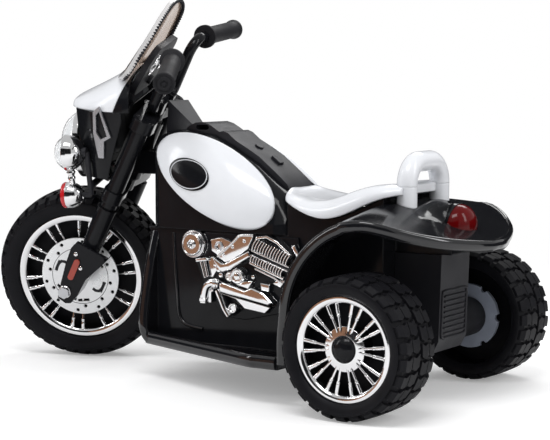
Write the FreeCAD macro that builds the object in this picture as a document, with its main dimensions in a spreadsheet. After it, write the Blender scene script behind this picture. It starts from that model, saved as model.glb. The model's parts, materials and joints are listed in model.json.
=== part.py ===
import FreeCAD, Part
import math
import os
import Sketcher

# Three-wheeled ride-on chopper for a child, modelled from the rear axle forward and then moved to its own
# origin: middle of the object on the ground, +X forward, +Y to the rider's left, +Z up, millimetres.

doc = FreeCAD.newDocument("ride_on_chopper")
sheet = doc.addObject("Spreadsheet::Sheet", "sizes")
v = FreeCAD.Vector
turn = FreeCAD.Rotation
put = FreeCAD.Placement
across = v(0, 1, 0)
upward = v(0, 0, 1)
ahead = v(1, 0, 0)


class Dim:
    # a named size, or a sum of named sizes, as sheet text and as a number
    def __init__(self, text, value):
        self.text = text
        self.value = value

    def __float__(self):
        return self.value

    def __neg__(self):
        return Dim("(0 - %s)" % self.text, -self.value)

    def __add__(self, other):
        other = as_dim(other)
        return Dim("(%s + %s)" % (self.text, other.text), self.value + other.value)

    def __radd__(self, other):
        return as_dim(other) + self

    def __sub__(self, other):
        other = as_dim(other)
        return Dim("(%s - %s)" % (self.text, other.text), self.value - other.value)

    def __rsub__(self, other):
        return as_dim(other) - self

    def __mul__(self, other):
        other = as_dim(other)
        return Dim("(%s * %s)" % (self.text, other.text), self.value * other.value)

    def __rmul__(self, other):
        return as_dim(other) * self

    def __truediv__(self, other):
        other = as_dim(other)
        return Dim("(%s / %s)" % (self.text, other.text), self.value / other.value)


def as_dim(number):
    if isinstance(number, Dim):
        return number
    return Dim("(%r)" % float(number), float(number))


class Sizes:
    pass


k = Sizes()
rows = []


def table(values):
    # one row of the sheet per named size: its name and its number
    for name, value in values.items():
        rows.append(name)
        cell = "B%d" % len(rows)
        sheet.set("A%d" % len(rows), name)
        sheet.set(cell, "%g" % value)
        sheet.setAlias(cell, name)
        setattr(k, name, Dim("sizes." + name, float(value)))


# Overall layout
layout_sizes = {
    "wheelbase": 580,
    "track": 342,
    "rear_axle_back": 298.72,
    "rake_angle": 28,
    "steer_angle": 24.3,
    "shaft_gap": 0.06,
    "seat_gap": 0.05,
    "run_gap": 0.5,
    "cut_overrun": 5,
}
table(layout_sizes)
# Front wheel
front_wheel_sizes = {
    "front_radius": 130,
    "front_width": 71,
    "front_barrel_radius": 97.5,
    "front_bead_width": 61,
    "front_bulge_radius": 112,
    "front_shoulder_radius": 124,
    "front_shoulder_width": 63,
    "front_tread_radius": 128.6,
    "front_tread_width": 42,
    "front_hub_radius": 20,
    "front_hub_width": 40,
    "front_web": 5,
    "front_axle_radius": 5,
    "front_ring_inner": 85,
    "front_cover_depth": 9,
    "front_plate_depth": 6,
    "front_spoke_width": 4,
    "front_spoke_spacing": 11,
    "disc_radius": 60,
    "disc_thickness": 2.5,
    "disc_eye_radius": 10,
    "disc_hole_radius": 2.6,
    "disc_outer_row": 54.5,
    "disc_inner_row": 47.5,
    "disc_row_turn": 14,
    "disc_slot_inner": 36,
    "disc_slot_outer": 40,
    "disc_slot_half": 9,
}
table(front_wheel_sizes)
# Rear wheels
rear_wheel_sizes = {
    "rear_radius": 91,
    "rear_width": 88,
    "rear_barrel_radius": 68,
    "rear_bead_width": 78,
    "rear_bulge_radius": 77,
    "rear_shoulder_radius": 85.5,
    "rear_shoulder_width": 84,
    "rear_tread_radius": 90.2,
    "rear_tread_width": 70,
    "rear_groove_depth": 4,
    "rear_groove_width": 4,
    "rear_hub_radius": 24,
    "rear_hub_width": 56,
    "rear_web": 5,
    "rear_axle_radius": 5,
    "rear_ring_inner": 57.5,
    "rear_cover_depth": 10,
    "rear_plate_depth": 6,
    "rear_spoke_width": 4,
    "rear_spoke_inner_spacing": 6,
    "rear_spoke_outer_spacing": 17,
    "rear_nave_radius": 24,
    "rear_cap_radius": 14.5,
    "rear_cap_height": 9,
    "rear_cap_tip": 1,
    "rear_cap_seat": 3,
    "axle_nut_radius": 8.5,
    "axle_nut_height": 6,
    "axle_end": 3,
    "drive_ring_outer": 45,
    "drive_ring_depth": 6,
    "drive_notch_radius": 5,
}
table(rear_wheel_sizes)
spoke_count = 10
disc_hole_count = 10
disc_slot_count = 6
drive_notch_count = 6

front_half = k.front_width / 2
rear_half = k.rear_width / 2


def lean_height():
    # height of the front axle: the steered, leaning tyre stands on the ground
    lean = math.sin(math.radians(k.rake_angle)) * math.sin(math.radians(k.steer_angle))
    rise = math.sqrt(1 - lean * lean)
    edges = [(k.front_radius, 0), (k.front_tread_radius, k.front_tread_width / 2),
             (k.front_shoulder_radius, k.front_shoulder_width / 2), (k.front_bulge_radius, front_half)]
    return max(float(r) * rise + float(a) * lean for r, a in edges)


axle_height = lean_height()

home = put(v(-k.rear_axle_back, 0, 0), turn())
fork_frame = put(v(k.wheelbase, 0, axle_height), turn(across, -k.rake_angle.value))
steer_turn = put(v(), turn(upward, k.steer_angle.value))
in_fork = home.multiply(fork_frame).multiply(steer_turn)
steered = in_fork.multiply(fork_frame.inverse())
on_axle = turn(ahead, -90)

nodes = {}


def keep(label, item, frame):
    # register a finished piece under its node name and move it into the common frame
    item.Label = label
    item.Placement = frame.multiply(item.Placement)
    nodes[label] = item
    return item


def new_body(name):
    return doc.addObject("PartDesign::Body", name)


def new_sketch(part, role, name, lift):
    plane = [f for f in part.Origin.OriginFeatures if f.Role == role][0]
    sketch = part.newObject("Sketcher::SketchObject", name)
    sketch.AttachmentSupport = (plane, [""])
    sketch.MapMode = "FlatFace"
    if isinstance(lift, Dim):
        sketch.AttachmentOffset = put(v(0, 0, lift), turn())
        sketch.setExpression("AttachmentOffset.Base.z", lift.text)
    return sketch


def pin_point(sketch, place, pos, x, y):
    # hold one point of a sketch at named distances from the sketch origin
    for kind, axis, amount in (("DistanceX", -2, x), ("DistanceY", -1, y)):
        amount = as_dim(amount)
        if amount.value == 0:
            sketch.addConstraint(Sketcher.Constraint("PointOnObject", place, pos, axis))
            continue
        at = sketch.addConstraint(Sketcher.Constraint(kind, -1, 1, place, pos, amount.value))
        sketch.setExpression("Constraints[%d]" % at, amount.text)


def outline(part, role, points, name, lift=None):
    # closed outline; a point with four values is reached by an arc through the last two
    sketch = new_sketch(part, role, name, lift)
    add_loop(sketch, points)
    return sketch


def add_loop(sketch, points):
    first = sketch.GeometryCount
    count = len(points)
    ends = []
    for i in range(count):
        a = points[i]
        b = points[(i + 1) % count]
        start = v(a[0], a[1], 0)
        stop = v(b[0], b[1], 0)
        if len(b) == 4:
            way = v(b[2], b[3], 0)
            sketch.addGeometry(Part.Arc(start, way, stop))
            # an arc's first point is the one that it leaves counter-clockwise
            ends.append((1, 2) if (way - start).cross(stop - way).z > 0 else (2, 1))
        else:
            sketch.addGeometry(Part.LineSegment(start, stop))
            ends.append((1, 2))
    for i in range(count):
        after = (i + 1) % count
        sketch.addConstraint(Sketcher.Constraint("Coincident", first + i, ends[i][1], first + after, ends[after][0]))
    for i in range(count):
        pin_point(sketch, first + i, ends[i][0], points[i][0], points[i][1])
    for i in range(count):
        b = points[(i + 1) % count]
        if len(b) == 4:
            mid = sketch.addGeometry(Part.Point(v(b[2], b[3], 0)), True)
            pin_point(sketch, mid, 1, b[2], b[3])
            sketch.addConstraint(Sketcher.Constraint("PointOnObject", mid, 1, first + i))


def rounds(part, role, circles, name, lift=None):
    sketch = new_sketch(part, role, name, lift)
    for x, y, r in circles:
        at = sketch.addGeometry(Part.Circle(v(x, y, 0), upward, float(r)))
        pin_point(sketch, at, 3, x, y)
        held = sketch.addConstraint(Sketcher.Constraint("Radius", at, float(r)))
        sketch.setExpression("Constraints[%d]" % held, r.text)
    return sketch


def revolve(part, sketch, angle=360):
    made = part.newObject("PartDesign::Revolution", sketch.Name + "_revolve")
    made.Profile = sketch
    made.ReferenceAxis = (sketch, ["V_Axis"])
    made.Angle = angle
    return made


def groove(part, sketch):
    made = part.newObject("PartDesign::Groove", sketch.Name + "_groove")
    made.Profile = sketch
    made.ReferenceAxis = (sketch, ["V_Axis"])
    made.Angle = 360
    return made


def pad(part, sketch, length, middle=False, back=False):
    made = part.newObject("PartDesign::Pad", sketch.Name + "_pad")
    made.Profile = sketch
    made.Length = float(length)
    made.setExpression("Length", length.text)
    made.Midplane = middle
    made.Reversed = back
    return made


def pocket(part, sketch, length, middle=False, back=False):
    made = part.newObject("PartDesign::Pocket", sketch.Name + "_pocket")
    made.Profile = sketch
    made.Length = float(length)
    made.setExpression("Length", length.text)
    made.Midplane = middle
    made.Reversed = back
    return made


def ring_pattern(part, feature, sketch, count):
    made = part.newObject("PartDesign::PolarPattern", feature.Name + "_ring")
    made.Originals = [feature]
    made.Axis = (sketch, ["N_Axis"])
    made.Angle = 360
    made.Occurrences = count
    part.Tip = made
    return made


def row_pattern(part, feature, direction, length, count):
    made = part.newObject("PartDesign::LinearPattern", feature.Name + "_row")
    made.Originals = [feature]
    made.Direction = direction
    made.Length = float(length)
    made.setExpression("Length", length.text)
    made.Occurrences = count
    part.Tip = made
    return made


def soften(part, feature, edges, radius, name):
    # round the edges that a rule picks, by a named radius
    doc.recompute()
    picked = ["Edge%d" % (i + 1) for i, e in enumerate(feature.Shape.Edges) if edges(e)]
    made = part.newObject("PartDesign::Fillet", name)
    made.Base = (feature, picked)
    made.Radius = float(radius)
    made.setExpression("Radius", radius.text)
    return made


def rod(name, radius, length, place):
    made = doc.addObject("Part::Cylinder", name)
    made.setExpression("Radius", radius.text)
    made.setExpression("Height", length.text)
    made.Placement = place
    return made


def block(name, size, corner):
    made = doc.addObject("Part::Box", name)
    for side, amount in zip(("Length", "Width", "Height"), size):
        made.setExpression(side, as_dim(amount).text)
    for side, amount in zip(("x", "y", "z"), corner):
        made.setExpression("Placement.Base." + side, as_dim(amount).text)
    return made


def joined(name, items):
    made = doc.addObject("Part::MultiFuse", name)
    made.Shapes = items
    return made


def cut_from(name, base, tool):
    made = doc.addObject("Part::Cut", name)
    made.Base = base
    made.Tool = tool
    return made


def shared(name, base, tool):
    made = doc.addObject("Part::Common", name)
    made.Base = base
    made.Tool = tool
    return made


def other_side(item):
    made = doc.addObject("Part::Mirroring", item.Name + "_other")
    made.Source = item
    made.Normal = across
    return made


def group(name, items):
    made = doc.addObject("Part::Compound", name)
    made.Links = items
    return made


def shell(name, shape):
    made = doc.addObject("Part::Feature", name)
    made.Shape = shape
    return made


def both_sides(name, item):
    return group(name, [item, other_side(item)])


def spread(shares, length, height, x, z):
    # outline points from shares of a length and a height, from a corner
    return [tuple(x + length * p if i % 2 == 0 else z + height * p for i, p in enumerate(pt)) for pt in shares]


# Front tyre moulding: tread, side walls, web and hub in one turned form
def tyre(name, radius, half, barrel, bead, bulge, shoulder_r, shoulder, tread_r, tread, hub_r, hub, web, bore):
    part = new_body(name)
    points = [(bore, -hub), (hub_r, -hub), (hub_r, -web), (barrel, -web), (barrel, -bead),
              (shoulder_r, -shoulder, bulge, -half), (tread_r, -tread), (tread_r, tread, radius, 0),
              (shoulder_r, shoulder), (barrel, bead, bulge, half), (barrel, web), (hub_r, web), (hub_r, hub),
              (bore, hub)]
    revolve(part, outline(part, "XZ_Plane", points, name + "_section"))
    return part


front_bore = k.front_axle_radius + k.shaft_gap
front_hub = k.front_hub_width / 2
front_tyre = tyre("front_tyre", k.front_radius, front_half, k.front_barrel_radius, k.front_bead_width / 2,
                  k.front_bulge_radius, k.front_shoulder_radius, k.front_shoulder_width / 2,
                  k.front_tread_radius, k.front_tread_width / 2, k.front_hub_radius, front_hub,
                  k.front_web / 2, front_bore)
keep("front_tyre", front_tyre, in_fork.multiply(put(v(), on_axle)))


# Chrome spoked cover that sits in the side of a wheel
def spoked_cover(name, bore, nave, ring_in, ring_out, back, plate, depth, width, near, far):
    part = new_body(name)
    front = back + plate
    revolve(part, outline(part, "XZ_Plane", [(bore, back), (nave, back), (nave, front), (bore, front)],
                          name + "_nave"))
    inside = nave - width
    outside = ring_in + width
    low = near / 2
    high = far / 2
    bars = outline(part, "XY_Plane", [(inside, low - width / 2), (outside, high - width / 2),
                                      (outside, high + width / 2), (inside, low + width / 2)],
                   name + "_bar", back)
    first = pad(part, bars, plate)
    ring_pattern(part, first, bars, spoke_count)
    twins = outline(part, "XY_Plane", [(inside, -low - width / 2), (outside, -high - width / 2),
                                       (outside, -high + width / 2), (inside, -low + width / 2)],
                    name + "_twin", back)
    second = pad(part, twins, plate)
    ring_pattern(part, second, twins, spoke_count)
    lip = back + depth
    crest = (ring_in + ring_out) / 2
    rim = outline(part, "XZ_Plane", [(ring_in, back), (ring_out, back), (ring_out, back + plate),
                                     (ring_in, back + plate, crest, lip)], name + "_rim")
    part.Tip = revolve(part, rim)
    return part


def front_cover(name):
    return spoked_cover(name, front_bore, k.front_hub_radius, k.front_ring_inner,
                        k.front_barrel_radius - k.seat_gap, front_hub, k.front_plate_depth, k.front_cover_depth,
                        k.front_spoke_width, k.front_spoke_spacing, k.front_spoke_spacing)


on_right = turn(ahead, 90)
front_covers = []
for label, facing in (("left", on_axle), ("right", on_right)):
    cover = front_cover("front_cover_" + label)
    cover.Placement = put(v(), facing)
    front_covers.append(cover)
keep("front_covers", group("front_cover_pair", front_covers), in_fork)

# Perforated brake disc on the outer face of each cover
disc = new_body("brake_disc")
disc_back = front_hub + k.front_plate_depth + k.seat_gap
revolve(disc, outline(disc, "XZ_Plane", [(k.disc_eye_radius, disc_back), (k.disc_radius, disc_back),
                                         (k.disc_radius, disc_back + k.disc_thickness),
                                         (k.disc_eye_radius, disc_back + k.disc_thickness)], "disc_section"))
row_x = k.disc_inner_row.value * math.cos(math.radians(k.disc_row_turn))
row_y = k.disc_inner_row.value * math.sin(math.radians(k.disc_row_turn))
row_cos = k.disc_inner_row * Dim("cos(sizes.disc_row_turn)", row_x / k.disc_inner_row.value)
row_sin = k.disc_inner_row * Dim("sin(sizes.disc_row_turn)", row_y / k.disc_inner_row.value)
holes = rounds(disc, "XY_Plane", [(k.disc_outer_row, 0, k.disc_hole_radius), (row_cos, row_sin, k.disc_hole_radius)],
               "disc_holes", disc_back + k.disc_thickness + k.cut_overrun)
drilled = pocket(disc, holes, k.disc_thickness + k.cut_overrun * 2)
ring_pattern(disc, drilled, holes, disc_hole_count)
slots = outline(disc, "XY_Plane", [(k.disc_slot_inner, -k.disc_slot_half),
                                   (k.disc_slot_outer, -k.disc_slot_half),
                                   (k.disc_slot_outer, k.disc_slot_half),
                                   (k.disc_slot_inner, k.disc_slot_half)],
                "disc_slots", disc_back + k.disc_thickness + k.cut_overrun)
slotted = pocket(disc, slots, k.disc_thickness + k.cut_overrun * 2)
ring_pattern(disc, slotted, slots, disc_slot_count)
disc.Placement = put(v(), on_axle)
keep("brake_discs", both_sides("brake_pair", disc), in_fork)

# Rear wheels
rear_bore = k.rear_axle_radius + k.shaft_gap
rear_hub = k.rear_hub_width / 2


def rear_tyre(name):
    part = tyre(name, k.rear_radius, rear_half, k.rear_barrel_radius, k.rear_bead_width / 2,
                k.rear_bulge_radius, k.rear_shoulder_radius, k.rear_shoulder_width / 2, k.rear_tread_radius,
                k.rear_tread_width / 2, k.rear_hub_radius, rear_hub, k.rear_web / 2, rear_bore)
    floor = k.rear_radius - k.rear_groove_depth
    top = k.rear_radius + k.cut_overrun
    half = k.rear_groove_width / 2
    groove(part, outline(part, "XZ_Plane", [(floor, -half), (top, -half), (top, half), (floor, half)],
                         name + "_channel"))
    return part


def rear_cover(name):
    return spoked_cover(name, k.rear_cap_radius, k.rear_nave_radius, k.rear_ring_inner,
                        k.rear_barrel_radius - k.seat_gap, rear_hub, k.rear_plate_depth, k.rear_cover_depth,
                        k.rear_spoke_width, k.rear_spoke_inner_spacing, k.rear_spoke_outer_spacing)


def hub_cap(name):
    # domed cap with a short skirt inside the cover's eye, hollow over the axle nut
    part = new_body(name)
    low = rear_hub + k.seat_gap
    rim = rear_hub + k.rear_plate_depth + k.seat_gap
    skirt = k.rear_cap_radius - k.seat_gap
    flange = k.rear_cap_radius + k.rear_cap_seat
    top = rim + k.rear_cap_height
    hollow = skirt - k.rear_cap_seat
    roof = top - k.rear_cap_seat
    revolve(part, outline(part, "XZ_Plane", [(hollow, low), (skirt, low), (skirt, rim), (flange, rim),
                                             (k.rear_cap_tip, top, flange * 0.72, rim + k.rear_cap_height * 0.62),
                                             (0, top), (0, roof), (k.rear_cap_tip, roof), (hollow, rim)], name + "_section"))
    return part


for side, label, facing in ((1, "left", on_axle), (-1, "right", on_right)):
    frame = home.multiply(put(v(0, k.track.value / 2 * side, k.rear_radius), facing))
    keep("rear_tyre_" + label, rear_tyre("rear_tyre_" + label), frame)
    keep("rear_cover_" + label, rear_cover("rear_cover_" + label), frame)
    keep("hub_cap_" + label, hub_cap("hub_cap_" + label), frame)

# Notched drive ring on the inner side of the right wheel
ring = new_body("drive_ring")
ring_low = -rear_hub - k.drive_ring_depth
revolve(ring, outline(ring, "XZ_Plane", [(k.rear_hub_radius - k.rear_web, ring_low), (k.drive_ring_outer, ring_low),
                                         (k.drive_ring_outer, -rear_hub - k.seat_gap),
                                         (k.rear_hub_radius - k.rear_web, -rear_hub - k.seat_gap)],
                      "ring_section"))
notches = rounds(ring, "XY_Plane", [(k.drive_ring_outer, 0, k.drive_notch_radius)], "ring_notches",
                 k.cut_overrun - rear_hub)
notched = pocket(ring, notches, k.drive_ring_depth + k.cut_overrun * 2)
ring_pattern(ring, notched, notches, drive_notch_count)
keep("drive_ring", ring, home.multiply(put(v(0, -k.track.value / 2, k.rear_radius), on_right)))

# Rear axle rod with a nut inside each hub cap
rear_span = k.track / 2 + rear_hub + k.axle_nut_height + k.axle_end
axle = rod("rear_axle_rod", k.rear_axle_radius, rear_span * 2, put(v(0, rear_span, k.rear_radius), turn(ahead, 90)))
axle_nuts = []
for label, face, facing in (("left", k.track / 2 + rear_hub + k.run_gap, on_axle),
                            ("right", -k.track / 2 - rear_hub - k.run_gap, on_right)):
    nut = doc.addObject("Part::Prism", "rear_nut_" + label)
    nut.Polygon = 6
    nut.setExpression("Circumradius", k.axle_nut_radius.text)
    nut.setExpression("Height", k.axle_nut_height.text)
    nut.Placement = put(v(0, face, k.rear_radius), facing)
    axle_nuts.append(nut)
keep("rear_axle", joined("rear_axle_set", [axle] + axle_nuts), home)

# Fork: everything here is set out along the steering axis, from the front axle upward
fork_sizes = {
    "fork_spacing": 160,
    "fork_back": 7,
    "fork_tube_radius": 12.5,
    "stanchion_radius": 11,
    "slider_radius": 15,
    "slider_neck_radius": 13,
    "slider_bottom": 64,
    "slider_top": 140,
    "slider_socket": 12,
    "tube_bottom": 142,
    "head_bottom": 172,
    "head_top": 265,
    "clamp_thickness": 18,
    "clamp_half_depth": 13,
    "clamp_eye": 17,
    "lower_eye": 15.5,
    "stem_radius": 11,
    "bush_radius": 15,
    "bush_length": 16,
    "bush_flange": 19,
    "bush_flange_thickness": 2.5,
    "bracket_thickness": 10,
    "bracket_length": 95,
    "bracket_depth": 58,
    "bracket_low": 16,
    "bracket_back": 39,
    "spacer_radius": 8.5,
    "front_nut_radius": 9,
    "front_nut_height": 7,
    "reflector_length": 34,
    "reflector_width": 9,
    "reflector_height": 2.5,
    "reflector_low": 22,
    "bar_radius": 8,
    "bar_wall": 1.6,
    "bar_base_half": 58,
    "bar_rise": 91,
    "bar_reach": 205,
    "bar_sweep": 26,
    "bar_bend": 26,
    "bar_foot_bend": 15,
    "saddle_width": 16,
    "grip_radius": 13,
    "grip_end_radius": 14.3,
    "grip_flange_radius": 17.5,
    "grip_flange_thickness": 5,
    "grip_length": 112,
    "grip_end_wall": 5,
}
table(fork_sizes)
leg_y = k.fork_spacing / 2
upper_low = k.head_top + k.bush_flange_thickness + k.run_gap
upper_high = upper_low + k.clamp_thickness
lower_high = k.head_bottom - k.bush_flange_thickness - k.run_gap
lower_low = lower_high - k.clamp_thickness

# Fork tube: wide upper tube stepping down to the stanchion that enters the lower cover
tube = new_body("fork_tube")
socket_low = k.slider_top - k.slider_socket
revolve(tube, outline(tube, "XZ_Plane", [(0, socket_low), (k.stanchion_radius, socket_low),
                                         (k.stanchion_radius, k.tube_bottom), (k.fork_tube_radius, k.tube_bottom),
                                         (k.fork_tube_radius, upper_high), (0, upper_high)], "tube_section"))
tube.Placement = put(v(-k.fork_back, leg_y, 0), turn())
keep("fork_tubes", both_sides("tube_pair", tube), in_fork)

slider = new_body("fork_slider")
socket_radius = k.stanchion_radius + k.seat_gap
revolve(slider, outline(slider, "XZ_Plane", [(0, k.slider_bottom), (k.slider_neck_radius, k.slider_bottom),
                                             (k.slider_radius, k.slider_top - k.slider_socket * 2,
                                              k.slider_radius, (k.slider_bottom + k.slider_top) / 2),
                                             (k.slider_radius, k.slider_top), (socket_radius, k.slider_top),
                                             (socket_radius, socket_low), (0, socket_low)], "slider_section"))
slider.Placement = put(v(-k.fork_back, leg_y, 0), turn())
keep("fork_sliders", both_sides("slider_pair", slider), in_fork)

# Caliper-shaped axle bracket under each lower cover
bracket_shares = [(0.93, 0.62), (0.95, 0.88), (0.88, 1.0), (0.1, 0.97), (0.02, 0.9), (0.3, 0.5), (0.34, 0.2),
                  (0.42, 0.04), (0.55, 0.0), (0.78, 0.03), (0.84, 0.22)]
bracket = new_body("axle_bracket")
bracket_pts = spread(bracket_shares, k.bracket_depth, k.bracket_length, -k.bracket_back, -k.bracket_low)
bracket_inner = leg_y - k.slider_neck_radius
bracket_plate = pad(bracket, outline(bracket, "XZ_Plane", bracket_pts, "bracket_side", -bracket_inner),
                    k.slider_neck_radius * 2 + k.bracket_thickness, back=True)
leg_seat = outline(bracket, "XY_Plane",
                   [(-k.fork_back - k.slider_radius * 2, leg_y - k.slider_radius * 2),
                    (-k.fork_back + k.slider_radius * 2, leg_y - k.slider_radius * 2),
                    (-k.fork_back + k.slider_radius * 2, leg_y + k.slider_radius + k.seat_gap),
                    (-k.fork_back - k.slider_radius * 2, leg_y + k.slider_radius + k.seat_gap)],
                   "bracket_seat", k.slider_bottom)
pocket(bracket, leg_seat, k.bracket_length, back=True)
axle_eye = rounds(bracket, "XZ_Plane", [(0, 0, front_bore)], "bracket_eye", -bracket_inner + k.cut_overrun)
pocket(bracket, axle_eye, k.slider_neck_radius * 2 + k.bracket_thickness + k.cut_overrun * 2, back=False)
keep("axle_brackets", both_sides("bracket_pair", bracket), in_fork)

bracket_face = leg_y + k.slider_neck_radius + k.bracket_thickness
reflector = new_body("fork_reflector")
reflector_top = k.reflector_low + k.reflector_length
reflector_half = k.reflector_width / 2
glow = outline(reflector, "XZ_Plane",
               [(-reflector_half, k.reflector_low + reflector_half),
                (reflector_half, k.reflector_low + reflector_half, 0, k.reflector_low),
                (reflector_half, reflector_top - reflector_half),
                (-reflector_half, reflector_top - reflector_half, 0, reflector_top)],
               "reflector_side", -bracket_face - k.seat_gap)
pad(reflector, glow, k.reflector_height, back=True)
keep("fork_reflectors", both_sides("reflector_pair", reflector), in_fork)

# Front axle bolt with its nuts, and the spacers beside the wheel
front_span = bracket_face + k.front_nut_height
front_rod = rod("front_axle_rod", k.front_axle_radius, front_span * 2, put(v(0, front_span, 0), turn(ahead, 90)))
front_nuts = []
for label, face, facing in (("left", bracket_face + k.seat_gap, on_axle), ("right", -bracket_face - k.seat_gap, on_right)):
    nut = doc.addObject("Part::Prism", "front_nut_" + label)
    nut.Polygon = 6
    nut.setExpression("Circumradius", k.front_nut_radius.text)
    nut.setExpression("Height", k.front_nut_height.text)
    nut.Placement = put(v(0, face, 0), facing)
    front_nuts.append(nut)
keep("front_axle", joined("front_axle_set", [front_rod] + front_nuts), in_fork)

spacer = new_body("axle_spacer")
spacer_low = front_hub + k.front_plate_depth + k.run_gap
revolve(spacer, outline(spacer, "XZ_Plane", [(front_bore, spacer_low), (k.spacer_radius, spacer_low),
                                             (k.spacer_radius, bracket_inner - k.seat_gap),
                                             (front_bore, bracket_inner - k.seat_gap)], "spacer_section"))
spacer.Placement = put(v(), on_axle)
keep("axle_spacers", both_sides("spacer_pair", spacer), in_fork)


# Fork clamps: a waisted plate with eyes for the stem and the two tubes
def clamp(name, low, eye, saddles):
    part = new_body(name)
    waist = k.clamp_half_depth
    tip = leg_y + eye
    back = -k.fork_back
    points = [(waist, 0), (back + eye, leg_y - eye), (back + eye, leg_y),
              (back - eye, leg_y, back, tip), (back - eye, leg_y - eye), (-waist, 0),
              (back - eye, -leg_y + eye), (back - eye, -leg_y), (back + eye, -leg_y, back, -tip),
              (back + eye, -leg_y + eye)]
    plate = outline(part, "XY_Plane", points, name + "_plan", low)
    pad(part, plate, k.clamp_thickness)
    boss = rounds(part, "XY_Plane", [(0, 0, k.stem_radius + k.clamp_half_depth / 2)], name + "_boss", low)
    pad(part, boss, k.clamp_thickness)
    if saddles:
        half = k.bar_radius + k.bar_wall * 2
        for end, sign in (("l", 1), ("r", -1)):
            mid = (k.bar_base_half - k.bar_foot_bend - k.saddle_width) * sign
            seat = outline(part, "XY_Plane", [(-half + back, mid - k.saddle_width / 2),
                                              (half + back, mid - k.saddle_width / 2),
                                              (half + back, mid + k.saddle_width / 2),
                                              (-half + back, mid + k.saddle_width / 2)],
                           name + "_saddle_" + end, low + k.clamp_thickness)
            pad(part, seat, k.bar_radius * 2 + k.bar_wall * 2)
        channel = rounds(part, "XZ_Plane", [(back, low + k.clamp_thickness + k.bar_radius + k.bar_wall,
                                             k.bar_radius + k.seat_gap)], name + "_channel")
        pocket(part, channel, k.bar_base_half * 2, middle=True)
    eyes = rounds(part, "XY_Plane", [(0, 0, k.stem_radius + k.seat_gap),
                                     (back, leg_y, k.fork_tube_radius + k.seat_gap),
                                     (back, -leg_y, k.fork_tube_radius + k.seat_gap)],
                  name + "_eyes", low + k.clamp_thickness + k.cut_overrun)
    return part, eyes


upper, upper_eyes = clamp("upper_clamp", upper_low, k.clamp_eye, True)
pocket(upper, upper_eyes, k.clamp_thickness + k.cut_overrun * 2)
keep("upper_clamp", upper, in_fork)
lower, lower_eyes = clamp("lower_clamp", lower_low, k.lower_eye, False)
pocket(lower, lower_eyes, k.clamp_thickness + k.cut_overrun * 2)
keep("lower_clamp", lower, in_fork)

stem_length = upper_high - lower_low
keep("steering_stem", rod("stem_rod", k.stem_radius, stem_length, put(v(0, 0, lower_low), turn())), in_fork)

# Flanged bushes in the ends of the head
bushes = []
for label, face, facing in (("top", k.head_top, turn()), ("bottom", k.head_bottom, turn(ahead, 180))):
    part = new_body("bush_" + label)
    sleeve = k.stem_radius + k.shaft_gap
    revolve(part, outline(part, "XZ_Plane", [(sleeve, -k.bush_length), (k.bush_radius, -k.bush_length),
                                             (k.bush_radius, 0), (k.bush_flange, 0),
                                             (k.bush_flange, k.bush_flange_thickness),
                                             (sleeve, k.bush_flange_thickness)], "bush_section_" + label))
    part.Placement = put(v(0, 0, face), facing)
    bushes.append(part)
straight_fork = home.multiply(fork_frame)
keep("head_bushes", group("bush_pair", bushes), straight_fork)

# Handlebar: one bent tube from grip to grip through the saddles
bar_mid = upper_high + k.bar_radius + k.bar_wall


def bent_tube(points, bends, radius):
    # round tube along straight runs joined by tangent arcs
    edges = []
    start = points[0]
    for i in range(1, len(points) - 1):
        a = (points[i - 1] - points[i]).normalize()
        b = (points[i + 1] - points[i]).normalize()
        half = a.getAngle(b) / 2
        run = float(bends[i - 1]) / math.tan(half)
        enter = points[i] + a * run
        leave = points[i] + b * run
        centre = points[i] + (a + b).normalize() * (float(bends[i - 1]) / math.sin(half))
        middle = centre + (points[i] - centre).normalize() * float(bends[i - 1])
        edges.append(Part.LineSegment(start, enter).toShape())
        edges.append(Part.Arc(enter, middle, leave).toShape())
        start = leave
    edges.append(Part.LineSegment(start, points[-1]).toShape())
    path = Part.Wire(edges)
    along = (points[1] - points[0]).normalize()
    ring_edge = Part.makeCircle(float(radius), points[0], along)
    return path.makePipeShell([Part.Wire([ring_edge])], True, False)


def bar_points():
    back = -float(k.fork_back)
    base = float(k.bar_base_half)
    low = float(bar_mid)
    high = low + float(k.bar_rise)
    reach = float(k.bar_reach)
    sweep = back - float(k.bar_sweep)
    return [v(sweep, reach, high), v(back, base, high), v(back, base, low), v(back, -base, low),
            v(back, -base, high), v(sweep, -reach, high)]


bar_bends = [k.bar_bend, k.bar_foot_bend, k.bar_foot_bend, k.bar_bend]
bar_outer = bent_tube(bar_points(), bar_bends, k.bar_radius)
bar_inner = bent_tube(bar_points(), bar_bends, k.bar_radius - k.bar_wall)
keep("handlebar", shell("handlebar_tube", bar_outer.cut(bar_inner)), in_fork)

# Rubber grips with an inner flange and a closed end
grips = []
for label, ends in (("left", bar_points()[:2]), ("right", bar_points()[:3:-1])):
    part = new_body("grip_" + label)
    inside = k.bar_radius + k.seat_gap
    length = k.grip_length
    waist = (k.grip_radius + k.grip_end_radius) / 2
    revolve(part, outline(part, "XZ_Plane", [(inside, -length), (k.grip_flange_radius, -length),
                                             (k.grip_flange_radius, -length + k.grip_flange_thickness),
                                             (k.grip_radius, -length + k.grip_flange_thickness * 2),
                                             (k.grip_radius, -k.grip_flange_thickness),
                                             (k.grip_end_radius, 0),
                                             (k.grip_end_radius, k.grip_end_wall / 2),
                                             (waist, k.grip_end_wall), (0, k.grip_end_wall), (0, k.seat_gap),
                                             (inside, k.seat_gap)], "grip_section_" + label))
    along = (ends[0] - ends[1]).normalize()
    part.Placement = put(ends[0], turn(upward, along))
    grips.append(part)
keep("grips", group("grip_pair", grips), in_fork)

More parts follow.
